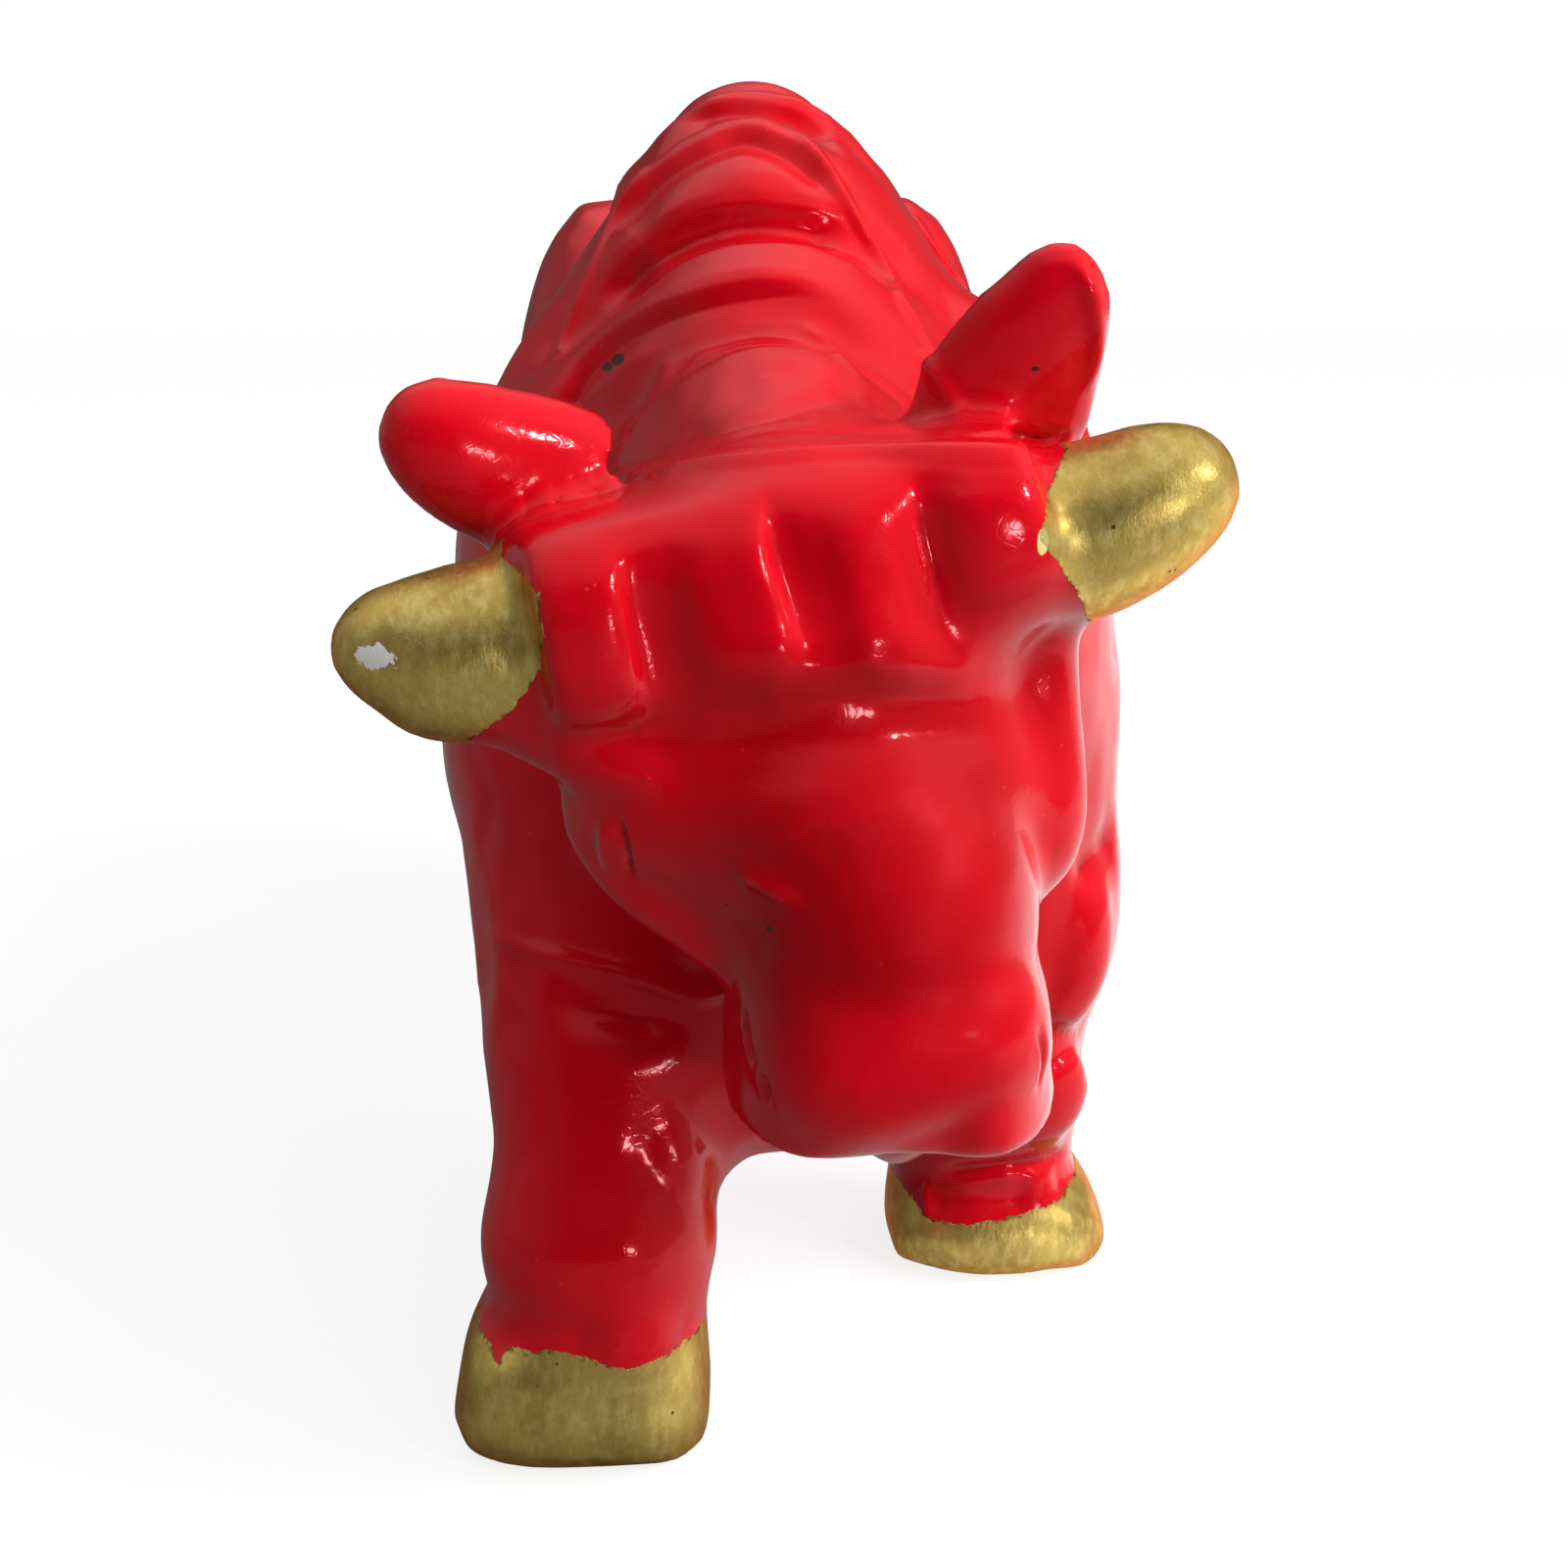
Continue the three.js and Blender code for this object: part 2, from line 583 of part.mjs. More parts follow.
// A leaf-shaped ear that grows out behind the horn
function earForm(root, side, lift) {
  const tip = EAR_LENGTH - EAR_TIP_WIDTH / 2;
  const round = limb(
    [0, 0, 0, EAR_WIDTH / 2],
    [tip * 0.45, 0, 0, EAR_WIDTH / 2],
    [tip, 0, 0, EAR_TIP_WIDTH / 2],
  );
  const flat = EAR_THICKNESS / EAR_WIDTH;
  const leaf = (p) => round(new THREE.Vector3(p.x, p.y / flat, p.z)) * flat;
  const turn = turnOf([-EAR_PITCH, side > 0 ? -lift : lift - 180, side * EAR_SWEEP]);
  const place = new THREE.Matrix4().compose(point(root), turn, new THREE.Vector3(1, 1, 1));
  return placed(leaf, headMatrix.clone().multiply(place));
}

// The head and neck are a little fuller here, so that the ear's foot clears them by the lute gap
function ear(root, side, lift) {
  const fuller = (p) => legless(p) - LUTE_GAP * 1.6;
  const low = [headLow[0], headLow[1], HEAD_AT[2] - SPARE];
  const high = [headHigh[0], headHigh[1] + SPARE, headHigh[2] + EAR_LENGTH];
  const seat = skin(fuller, headLow, headHigh, HEAD_CELL)
    .intersect(headSpace(halfGap))
    .add(skin(fuller, low, [high[0], high[1] + SPARE, high[2]], NECK_CELL));
  return skin(earForm(root, side, lift), low, high, EAR_CELL)
    .subtract(seat)
    .decompose()
    .reduce((most, one) => (one.volume() > most.volume() ? one : most));
}

// One leg with its hoof, sawn from the body above and flat on the ground below
function lowerLeg(one) {
  const x = STANCE_X + (one.side * LEG_SPREAD) / 2;
  const reach = HOOF_LENGTH / 2 + SPARE;
  const low = [x - 2 * SPARE, Math.min(one.hoofY, one.topY) - reach, -SPARE];
  const high = [x + 2 * SPARE, Math.max(one.hoofY, one.topY) + reach, LEG_JOINT_HEIGHT + SPARE];
  return skin(whole, low, high, LEG_CELL)
    .intersect(legQuarter(one, halfGap))
    .intersect(beyond([0, 0, 0], [0, 0, 1]));
}

// The tail lies on the rump, half sunk into its curve, and ends in a tuft
function tailSolid() {
  const lying = (x, z, radius) => {
    let [inside, outside] = [HAUNCH.front, RUMP.back + 2 * SPARE];
    while (outside - inside > 0.01) {
      const y = (inside + outside) / 2;
      if (whole(new THREE.Vector3(x, y, z)) < radius * TAIL_PROUD) inside = y;
      else outside = y;
    }
    return [x, inside, z, radius];
  };
  const last = TAIL_PATH.length - 1;
  const radiusAt = (n) => ({ [last - 1]: TUFT_RADIUS, [last]: TAIL_TIP_RADIUS })[n] ?? TAIL_RADIUS;
  const stops = TAIL_PATH.map(([x, drop], n) => lying(x, RUMP.top - drop, radiusAt(n)));
  const low = [-2 * SPARE, HAUNCH.front, RUMP.top - TAIL_PATH[last][1] - SPARE];
  const high = [2 * SPARE, RUMP.back + 2 * SPARE, RUMP.top + SPARE];
  const rump = skin((p) => whole(p) - LUTE_GAP * 2, low, high, TORSO_CELL);
  return skin(limb(...stops), low, high, TAIL_CELL).subtract(rump);
}

function geometryOf(shape) {
  const mesh = shape.getMesh();
  const geometry = new THREE.BufferGeometry();
  geometry.setAttribute("position", new THREE.BufferAttribute(new Float32Array(mesh.vertProperties), 3));
  geometry.setIndex(new THREE.BufferAttribute(new Uint32Array(mesh.triVerts), 1));
  geometry.computeVertexNormals();
  return geometry;
}

const bull = new THREE.Group();
const glaze = new THREE.MeshStandardMaterial(GLAZE);
const gold = new THREE.MeshStandardMaterial(GOLD);

function add(name, shape, material) {
  const mesh = new THREE.Mesh(geometryOf(shape), material.clone());
  mesh.name = name;
  bull.add(mesh);
}

add("torso_shell", torsoShell(), glaze);
add("neck_shell", neckShell(), glaze);
add("head_shell", headShell(), glaze);
add("ear_right", ear(EAR_ROOT_RIGHT, -1, EAR_LIFT_RIGHT), glaze);
add("ear_left", ear(EAR_ROOT_LEFT, 1, EAR_LIFT_LEFT), glaze);
add("horn_right", hornTip(-1), gold);
add("horn_left", hornTip(1), gold);
Object.entries(LEGS).forEach(([name, one]) => {
  const cast = lowerLeg(one);
  const paintLine = [0, 0, one.hoofHeight];
  add(name, cast.intersect(beyond(paintLine, [0, 0, 1], halfGap)), glaze);
  add(name.replace("leg", "hoof"), cast.intersect(beyond(paintLine, [0, 0, -1], halfGap)), gold);
});
add("tail", tailSolid(), glaze);

// The origin is on the ground under the middle of the bull
const middle = new THREE.Box3().setFromObject(bull).getCenter(new THREE.Vector3());
bull.children.forEach((mesh) => mesh.position.set(-middle.x, -middle.y, 0));

export default bull;
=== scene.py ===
"""A glazed ceramic bull figurine with gold-painted horns and hooves.

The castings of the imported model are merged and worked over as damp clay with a
few modelling tools, cut apart again where the castings meet, then glazed and
painted. Lengths are in millimetres where a docstring or a name says so, and in
metres otherwise.
"""

import logging
import math
from dataclasses import dataclass, field
from enum import Enum

import bmesh
import bpy
import numpy as np
from mathutils import Euler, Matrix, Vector
from mathutils.bvhtree import BVHTree


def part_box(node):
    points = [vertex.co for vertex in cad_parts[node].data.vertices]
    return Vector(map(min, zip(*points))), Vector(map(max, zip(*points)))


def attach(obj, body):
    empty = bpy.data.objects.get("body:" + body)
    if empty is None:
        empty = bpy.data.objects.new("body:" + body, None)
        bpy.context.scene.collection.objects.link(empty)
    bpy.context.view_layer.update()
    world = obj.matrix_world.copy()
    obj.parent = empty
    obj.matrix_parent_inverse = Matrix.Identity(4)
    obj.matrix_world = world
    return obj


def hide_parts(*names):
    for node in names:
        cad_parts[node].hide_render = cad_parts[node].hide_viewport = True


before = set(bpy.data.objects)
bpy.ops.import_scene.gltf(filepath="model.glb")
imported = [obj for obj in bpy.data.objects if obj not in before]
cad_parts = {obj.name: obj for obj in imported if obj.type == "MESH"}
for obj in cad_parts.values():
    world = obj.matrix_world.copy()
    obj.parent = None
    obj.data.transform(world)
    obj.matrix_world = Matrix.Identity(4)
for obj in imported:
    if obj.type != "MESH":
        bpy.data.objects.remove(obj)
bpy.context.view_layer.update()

LOG = logging.getLogger("bull")
MM = 0.001
Pixel = tuple[float, float]
Point = tuple[float, float, float]
Colour = tuple[float, float, float]
Socket = bpy.types.NodeSocket
Input = Socket | float | Point | Colour


def deselect_all() -> None:
    """Leaves nothing selected in object mode."""
    if bpy.context.object and bpy.context.object.mode != "OBJECT":
        bpy.ops.object.mode_set(mode="OBJECT")
    bpy.ops.object.select_all(action="DESELECT")


def make_active(piece: bpy.types.Object) -> None:
    """Selects one object alone and makes it the active one.

    Args:
        piece: the object to select.
    """
    deselect_all()
    piece.select_set(True)
    bpy.context.view_layer.objects.active = piece


def apply_modifier(piece: bpy.types.Object, kind: str, **settings: str | float) -> None:
    """Adds one modifier, sets it and applies it.

    Args:
        piece: the object that it works on.
        kind: the modifier's type.
        settings: the modifier's own settings by name.
    """
    make_active(piece)
    modifier = piece.modifiers.new(kind.lower(), kind)
    for name, value in settings.items():
        setattr(modifier, name, value)
    bpy.ops.object.modifier_apply(modifier=modifier.name)


def places(mesh: bpy.types.Mesh) -> np.ndarray:
    """Reads the vertices of a mesh.

    Args:
        mesh: the mesh to read.

    Returns:
        One row of X, Y and Z for each vertex, in metres.
    """
    found = np.empty(len(mesh.vertices) * 3, np.float32)
    mesh.vertices.foreach_get("co", found)
    return found.reshape(-1, 3).astype(float)


def set_places(mesh: bpy.types.Mesh, points: np.ndarray) -> None:
    """Moves the vertices of a mesh.

    Args:
        mesh: the mesh to change.
        points: one row of X, Y and Z for each vertex, in metres.
    """
    mesh.vertices.foreach_set("co", points.astype(np.float32).ravel())
    mesh.update()


def facings(mesh: bpy.types.Mesh) -> np.ndarray:
    """Reads the vertex normals of a mesh.

    Args:
        mesh: the mesh to read.

    Returns:
        One unit vector for each vertex.
    """
    found = np.empty(len(mesh.vertices) * 3, np.float32)
    mesh.vertices.foreach_get("normal", found)
    return found.reshape(-1, 3).astype(float)


def smoothstep(value: np.ndarray, low: float, high: float) -> np.ndarray:
    """Goes from 0 at low to 1 at high along a soft curve.

    Args:
        value: the numbers to map.
        low: where the curve leaves 0.
        high: where it reaches 1.

    Returns:
        Numbers from 0 to 1.
    """
    share = np.clip((value - low) / (high - low), 0, 1)
    return share * share * (3 - 2 * share)


def through(points: np.ndarray, steps: int) -> np.ndarray:
    """Draws a smooth curve through points.

    Args:
        points: two or more rows of coordinates.
        steps: how many steps the curve takes from one point to the next.

    Returns:
        The rows of the curve, ends included.
    """
    ends = np.vstack([2 * points[0] - points[1], points, 2 * points[-1] - points[-2]])
    t = np.linspace(0, 1, steps, endpoint=False)[:, None]
    rows = []
    for a, b, c, d in zip(ends, ends[1:], ends[2:], ends[3:]):
        rows.append(
            0.5 * (2 * b + (c - a) * t + (2 * a - 5 * b + 4 * c - d) * t**2 + (3 * b - a - 3 * c + d) * t**3)
        )
    return np.vstack(rows + [points[-1]])


@dataclass(frozen=True)
class View:
    """Where the photograph was taken from.

    The place is in millimetres, the angles in degrees and the focal length in
    pixels of the square frame.
    """

    at: Point = (-12.0, -280.5, 134)
    yaw: float = 3
    pitch: float = 16
    focal_px: float = 1900
    frame_px: float = 1600

    def turn(self) -> Euler:
        """Gives the camera's rotation.

        Returns:
            The rotation as Euler angles.
        """
        return Euler((math.radians(90 - self.pitch), 0, -math.radians(self.yaw)))

    def ray(self, pixel: Pixel) -> Vector:
        """Gives the direction in which a pixel lies.

        Args:
            pixel: a place in the frame.

        Returns:
            A unit vector.
        """
        half = self.frame_px / 2
        seen = Vector(((pixel[0] - half) / self.focal_px, (half - pixel[1]) / self.focal_px, -1))
        return (self.turn().to_matrix() @ seen).normalized()

    def at_depth(self, pixel: Pixel, y: float) -> np.ndarray:
        """Finds the point behind a pixel on an upright plane.

        Args:
            pixel: a place in the frame.
            y: the plane's Y in millimetres.

        Returns:
            The point in millimetres.
        """
        ray = self.ray(pixel)
        return np.array(self.at) + np.array(ray) * (y - self.at[1]) / ray.y


VIEW = View()
HEAD_AT = np.array((-2.7, -99.52, 102.4))
HEAD_TURN = np.array(Euler((0, math.radians(-11.5), math.radians(8))).to_matrix())
SECTION_REACH = 3.4


class Section(Enum):
    """The cross-section that a modelling tool leaves.

    Each value is a row of pairs: the distance from the stroke in widths, on the
    left of the path first, and the rise of the clay in depths.
    """

    GROOVE = ((-2.0, 0), (-1.0, 0.12), (-0.4, -0.45), (0, -1), (0.4, -0.45), (1.0, 0.12), (2.0, 0))
    HOLLOW = ((-1.6, 0), (-1.0, -0.25), (0, -1), (1.0, -0.25), (1.6, 0))
    RIDGE = ((-1.6, 0), (-0.9, 0.15), (-0.35, 0.7), (0, 1), (0.35, 0.7), (0.9, 0.15), (1.6, 0))
    SWELL = ((-1.6, 0), (-1.0, 0.25), (-0.5, 0.75), (0, 1), (0.5, 0.75), (1.0, 0.25), (1.6, 0))
    FOLD = (
        (-3.0, 0), (-1.4, -0.35), (-0.45, -0.85), (0, -1), (0.3, -0.6), (0.8, 0.12), (1.4, 0.25), (3.0, 0)
    )

    def rise(self, share: np.ndarray) -> np.ndarray:
        """Reads the cross-section.

        Args:
            share: distances from the path in widths.

        Returns:
            The rise in depths.
        """
        fine = np.linspace(-SECTION_REACH, SECTION_REACH, 341)
        pairs = np.array(self.value)
        heights = np.interp(fine, pairs[:, 0], pairs[:, 1])
        soft = np.exp(-np.linspace(-2, 2, 9) ** 2)
        heights = np.convolve(heights, soft / soft.sum(), "same")
        return np.interp(share, fine, heights, left=0, right=0)


@dataclass(frozen=True)
class Stroke:
    """One stroke of a modelling tool along the surface.

    A path of pairs is in pixels of the photograph's frame and a path of triples
    in millimetres. Width and depth are in millimetres. The steep side of a fold
    is on the left of its path.
    """

    path: tuple[tuple[float, ...], ...]
    width: float
    depth: float
    section: Section = Section.GROOVE
    fade: float = 0.3


@dataclass(frozen=True)
class Loft:
    """A rounded body with oval sections along a line.

    Each station has a pixel of the photograph's frame, a Y, a half width and a
    half thickness, all but the pixel in millimetres.
    """

    stations: tuple[tuple[Pixel, float, float, float], ...]
    across: Point
    sides: int = 28

    def ovals(self) -> tuple[np.ndarray, np.ndarray, np.ndarray]:
        """Works out the oval sections along the line.

        Returns:
            Their centres, their half widths and their half thicknesses, the last
            two as vectors, all in millimetres.
        """
        centres = np.array([VIEW.at_depth(pixel, y) for pixel, y, _, _ in self.stations])
        sizes = np.array([[wide, thick] for _, _, wide, thick in self.stations])
        line = through(centres, 6)
        sizes = np.maximum(through(sizes, 6), 0.05)
        along = np.gradient(line, axis=0)
        along /= np.linalg.norm(along, axis=1)[:, None]
        side = np.array(self.across) - along * (along @ np.array(self.across))[:, None]
        side /= np.linalg.norm(side, axis=1)[:, None]
        return line, side * sizes[:, :1], np.cross(along, side) * sizes[:, 1:]

    def holds(self, points: np.ndarray, spread: float = 1.35) -> np.ndarray:
        """Finds the points in or close round the body.

        Args:
            points: rows of coordinates in millimetres.
            spread: how far round it a point may lie, as a share of its sections.

        Returns:
            True for each of these points.
        """
        line, side, front = self.ovals()
        found, _, step, _ = beside(points, line, 20)
        away = points[found] - line[step]
        shares = [
            np.einsum("ij,ij->i", away, half[step]) / np.maximum((half[step] ** 2).sum(1), 4.0)
            for half in (side, front)
        ]
        inside = np.zeros(len(points), bool)
        inside[found[np.hypot(*shares) < spread]] = True
        return inside

    def build(self) -> bpy.types.Object:
        """Makes the mesh.

        Returns:
            The closed body.
        """
        made = bmesh.new()
        rings = []
        for centre, side, front in zip(*self.ovals()):
            ring = []
            for turn in range(self.sides):
                angle = math.tau * turn / self.sides
                place = centre + side * math.cos(angle) + front * math.sin(angle)
                ring.append(made.verts.new(place * MM))
            rings.append(ring)
        for low, high in zip(rings, rings[1:]):
            for turn in range(self.sides):
                after = (turn + 1) % self.sides
                made.faces.new((low[turn], low[after], high[after], high[turn]))
        made.faces.new(rings[0][::-1])
        made.faces.new(rings[-1])
        bmesh.ops.recalc_face_normals(made, faces=made.faces)
        mesh = bpy.data.meshes.new("loft")
        made.to_mesh(mesh)
        made.free()
        body = bpy.data.objects.new("loft", mesh)
        bpy.context.scene.collection.objects.link(body)
        return body


@dataclass
class Clay:
    """The bull without its tail as one damp clay body.

    The sizes are in millimetres.
    """

    lute: float = 0.45
    grain: float = 0.95
    vent_at: tuple[float, float] = (0.6, 33.5)
    vent_plug_radius: float = 8
    vent_plug_heights: tuple[float, float] = (48, 60)
    body_passes: int = 28
    head_passes: int = 10
    cast_apart: tuple[str, ...] = ("tail", "ear_right", "ear_left", "horn_right", "horn_left")
    horn_blend: tuple[float, float] = (15, 20)
    muzzle_blend: tuple[float, float] = (-94, -80)
    face_blend: tuple[float, float] = (-88, -66)
    tuck_heights: tuple[float, float] = (-86, -62)
    tuck_front: tuple[float, float] = (94, 108)
    tuck_depth: float = 1.5
    settle_passes: int = 2
    body: bpy.types.Object = field(init=False)

    def build(self) -> bpy.types.Object:
        """Makes the clay body from the castings.

        Returns:
            The one closed body.
        """
        self.body = self.joined_castings()
        apply_modifier(self.body, "DISPLACE", strength=self.lute * MM, mid_level=0)
        self.join(self.body, [loft.build() for loft in EARS + HORNS + PADS])
        apply_modifier(self.body, "REMESH", mode="VOXEL", voxel_size=self.grain * MM)
        apply_modifier(self.body, "DISPLACE", strength=-self.lute * MM, mid_level=0)
        self.relax()
        self.tuck()
        self.sculpt(COARSE_STROKES, 0)
        self.sculpt(FINE_STROKES, 1)
        self.settle()
        bpy.ops.object.shade_smooth()
        return self.body

    def join(self, first: bpy.types.Object, others: list[bpy.types.Object]) -> None:
        """Joins bodies into the first one.

        Args:
            first: the body that stays.
            others: the bodies that go into it.
        """
        make_active(first)
        for other in others:
            other.select_set(True)
        bpy.ops.object.join()

    def joined_castings(self) -> bpy.types.Object:
        """Copies the castings, welds each one and joins the copies with a plug for the vent.

        Returns:
            The joined copies.
        """
        copies = []
        for name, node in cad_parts.items():
            if name in self.cast_apart:
                continue
            copy = bpy.data.objects.new("clay_" + name, node.data.copy())
            copy.data.materials.clear()
            bpy.context.scene.collection.objects.link(copy)
            weld(copy)
            copies.append(copy)
        deselect_all()
        low, high = self.vent_plug_heights
        bpy.ops.mesh.primitive_cylinder_add(
            radius=self.vent_plug_radius * MM,
            depth=(high - low) * MM,
            location=(self.vent_at[0] * MM, self.vent_at[1] * MM, (low + high) / 2 * MM),
        )
        self.join(copies[0], [bpy.context.object, *copies[1:]])
        copies[0].name = "clay"
        return copies[0]

    def relax(self) -> None:
        """Takes the facets out, with a light hand on the face and a heavy one elsewhere."""
        light = relaxed(self.body, self.head_passes)
        heavy = relaxed(self.body, self.body_passes)
        from_middle = np.abs((light / MM - HEAD_AT) @ HEAD_TURN[:, 0])
        heavily = np.maximum.reduce(
            (
                smoothstep(light[:, 1] / MM, *self.face_blend),
                smoothstep(from_middle, *self.horn_blend),
                smoothstep(-light[:, 2] / MM, *self.muzzle_blend),
            )
        )
        set_places(self.body.data, light + (heavy - light) * heavily[:, None])

    def tuck(self) -> None:
        """Pushes the muzzle back, so that the face falls straight from the brow."""
        points = places(self.body.data)
        low = smoothstep(-points[:, 2] / MM, *self.tuck_heights)
        fore = smoothstep(-points[:, 1] / MM, *self.tuck_front)
        points[:, 1] += self.tuck_depth * MM * low * fore
        set_places(self.body.data, points)

    def sculpt(self, strokes: tuple[Stroke, ...], refinements: int) -> None:
        """Draws strokes on the body, on a finer mesh where asked.

        Args:
            strokes: the strokes in the order in which they are drawn.
            refinements: how many times the faces near a stroke are divided first.
        """
        mesh = self.body.data
        tree = tree_of(mesh)
        paths = [on_surface(stroke, tree) for stroke in strokes]
        for _ in range(refinements):
            centres = centres_of(mesh)
            near = np.zeros(len(centres), bool)
            for stroke, (line, _) in zip(strokes, paths):
                found, away, _, _ = beside(centres, line, stroke.width * 2.4 + 1)
                near[found[away < stroke.width * 2.2 + 0.8]] = True
            mesh.polygons.foreach_set("select", near)
            make_active(self.body)
            bpy.ops.object.mode_set(mode="EDIT")
            bpy.ops.mesh.select_mode(type="FACE")
            bpy.ops.mesh.subdivide(number_cuts=1, smoothness=0)
            bpy.ops.object.mode_set(mode="OBJECT")
        points = places(mesh) / MM
        normals = facings(mesh)
        for stroke, (line, up) in zip(strokes, paths):
            self.draw(stroke, line, up, points, normals)
        set_places(mesh, points * MM)

    def draw(
        self, stroke: Stroke, line: np.ndarray, up: np.ndarray, points: np.ndarray, normals: np.ndarray
    ) -> None:
        """Presses or raises the clay along one stroke.

        Args:
            stroke: the stroke.
            line: its path on the surface in millimetres.
            up: the surface normals along the path.
            points: the body's vertices in millimetres, which it moves.
            normals: the body's vertex normals.
        """
        found, away, step, share = beside(points, line, stroke.width * SECTION_REACH)
        if not len(found):
            return
        along = np.gradient(line, axis=0)
        along /= np.linalg.norm(along, axis=1)[:, None] + 1e-9
        left = np.cross(up, along)
        side = np.einsum("ij,ij->i", points[found] - line[step], left[step])
        signed = np.where(side < 0, -1, 1) * away
        ends = smoothstep(share, 0, max(stroke.fade, 1e-3)) * smoothstep(1 - share, 0, max(stroke.fade, 1e-3))
        ahead = np.abs(np.einsum("ij,ij->i", points[found] - line[step], along[step]))
        past = np.clip(ahead / stroke.width, 0, 1)
        outer = (step == 0) | (step == len(line) - 1)
        ends = np.where(outer, ends * (1 - past), ends)
        faces_it = smoothstep(np.einsum("ij,ij->i", normals[found], up[step]), 0.0, 0.45)
        rise = stroke.section.rise(signed / stroke.width) * stroke.depth * ends * faces_it
        points[found] += normals[found] * rise[:, None]

    def settle(self) -> None:
        """Lets the tool marks soften a little and sets the soles on the ground."""
        points = relaxed(self.body, self.settle_passes)
        points[:, 2] = np.maximum(points[:, 2], 0)
        set_places(self.body.data, points)


def weld(piece: bpy.types.Object) -> None:
    """Joins the vertices of a copied casting that share a place.

    Args:
        piece: the copy.
    """
    make_active(piece)
    bpy.ops.object.mode_set(mode="EDIT")
    bpy.ops.mesh.select_all(action="SELECT")
    bpy.ops.mesh.remove_doubles(threshold=1e-6)
    bpy.ops.object.mode_set(mode="OBJECT")


def relaxed(piece: bpy.types.Object, passes: int) -> np.ndarray:
    """Smooths a copy of a body and gives back most of what smoothing shrinks.

    Args:
        piece: the body, which stays as it is.
        passes: how many times each vertex moves towards its neighbours.

    Returns:
        The smoothed vertices.
    """
    copy = piece.copy()
    copy.data = piece.data.copy()
    bpy.context.scene.collection.objects.link(copy)
    apply_modifier(copy, "SMOOTH", factor=0.5, iterations=passes)
    once = places(copy.data)
    apply_modifier(copy, "SMOOTH", factor=0.5, iterations=passes)
    twice = places(copy.data)
    bpy.data.meshes.remove(copy.data)
    return 2 * once - twice


def tree_of(mesh: bpy.types.Mesh) -> BVHTree:
    """Prepares a mesh for ray casts.

    Args:
        mesh: the mesh.

    Returns:
        Its search tree, in metres.
    """
    made = bmesh.new()
    made.from_mesh(mesh)
    tree = BVHTree.FromBMesh(made)
    made.free()
    return tree


def centres_of(mesh: bpy.types.Mesh) -> np.ndarray:
    """Reads the centres of a mesh's faces.

    Args:
        mesh: the mesh.

    Returns:
        One row of X, Y and Z for each face, in millimetres.
    """
    found = np.empty(len(mesh.polygons) * 3, np.float32)
    mesh.polygons.foreach_get("center", found)
    return found.reshape(-1, 3).astype(float) / MM


def on_surface(stroke: Stroke, tree: BVHTree) -> tuple[np.ndarray, np.ndarray]:
    """Lays a stroke's path on a surface.

    Args:
        stroke: the stroke.
        tree: the surface's search tree.

    Returns:
        The path in millimetres and the surface normals along it.
    """
    line, up = [], []
    for row in through(np.array(stroke.path, float), 8):
        if len(row) == 2:
            place, normal, _, _ = tree.ray_cast(Vector(VIEW.at) * MM, VIEW.ray(tuple(row)))
            if place is None:
                continue
        else:
            place, normal, _, _ = tree.find_nearest(Vector(row) * MM)
        line.append(np.array(place) / MM)
        up.append(np.array(normal))
    up = np.array(up)
    soft = np.array([up[max(n - 3, 0) : n + 4].mean(0) for n in range(len(up))])
    return np.array(line), soft / np.linalg.norm(soft, axis=1)[:, None]


def beside(
    points: np.ndarray, line: np.ndarray, reach: float
) -> tuple[np.ndarray, np.ndarray, np.ndarray, np.ndarray]:
    """Finds the points near a line.

    Args:
        points: the points to search.
        line: the rows of the line.
        reach: how far from the line a point may be.

    Returns:
        The indices of the points, their distances, the nearest row of each and
        its share of the line's length.
    """
    low, high = line.min(0) - reach, line.max(0) + reach
    found = np.flatnonzero(((points > low) & (points < high)).all(1))
    if not len(found):
        return found, found, found, found
    steps = np.linalg.norm(np.diff(line, axis=0), axis=1)
    run = np.concatenate([[0], np.cumsum(steps)])
    starts, spans = line[:-1], np.diff(line, axis=0)
    best = np.full(len(found), np.inf)
    at = np.zeros(len(found))
    nearest = np.zeros(len(found), int)
    for n, (start, span) in enumerate(zip(starts, spans)):
        length = np.dot(span, span)
        if length < 1e-9:
            continue
        t = np.clip((points[found] - start) @ span / length, 0, 1)
        away = np.linalg.norm(points[found] - start - t[:, None] * span, axis=1)
        closer = away < best
        best[closer] = away[closer]
        at[closer] = (run[n] + t * steps[n])[closer]
        nearest[closer] = np.where(t > 0.5, n + 1, n)[closer]
    close = best < reach
    return found[close], best[close], nearest[close], at[close] / run[-1]


EARS = (
    Loft(
        stations=(
            ((606, 500), -90, 7.6, 4.6),
            ((566, 490), -91.5, 8.3, 5.0),
            ((510, 476), -93.5, 8.3, 5.2),
            ((456, 452), -95.5, 7.2, 4.8),
            ((418, 430), -96.6, 5.4, 3.8),
            ((398, 418), -97.2, 3.2, 2.4),
            ((388, 412), -97.5, 0.2, 0.2),
        ),
        across=(0.4, 0.15, 0.9),
    ),
    Loft(
        stations=(
            ((1008, 450), -87, 9.6, 4.2),
            ((1024, 412), -88.5, 9.8, 4.6),
            ((1048, 360), -90, 8.6, 4.6),
            ((1074, 310), -91.5, 6.8, 4.0),
            ((1088, 272), -92.5, 4.8, 3.0),
            ((1096, 252), -93, 2.6, 1.8),
            ((1099, 243), -93.2, 0.2, 0.2),
        ),
        across=(0.95, -0.1, 0.3),
    ),
)
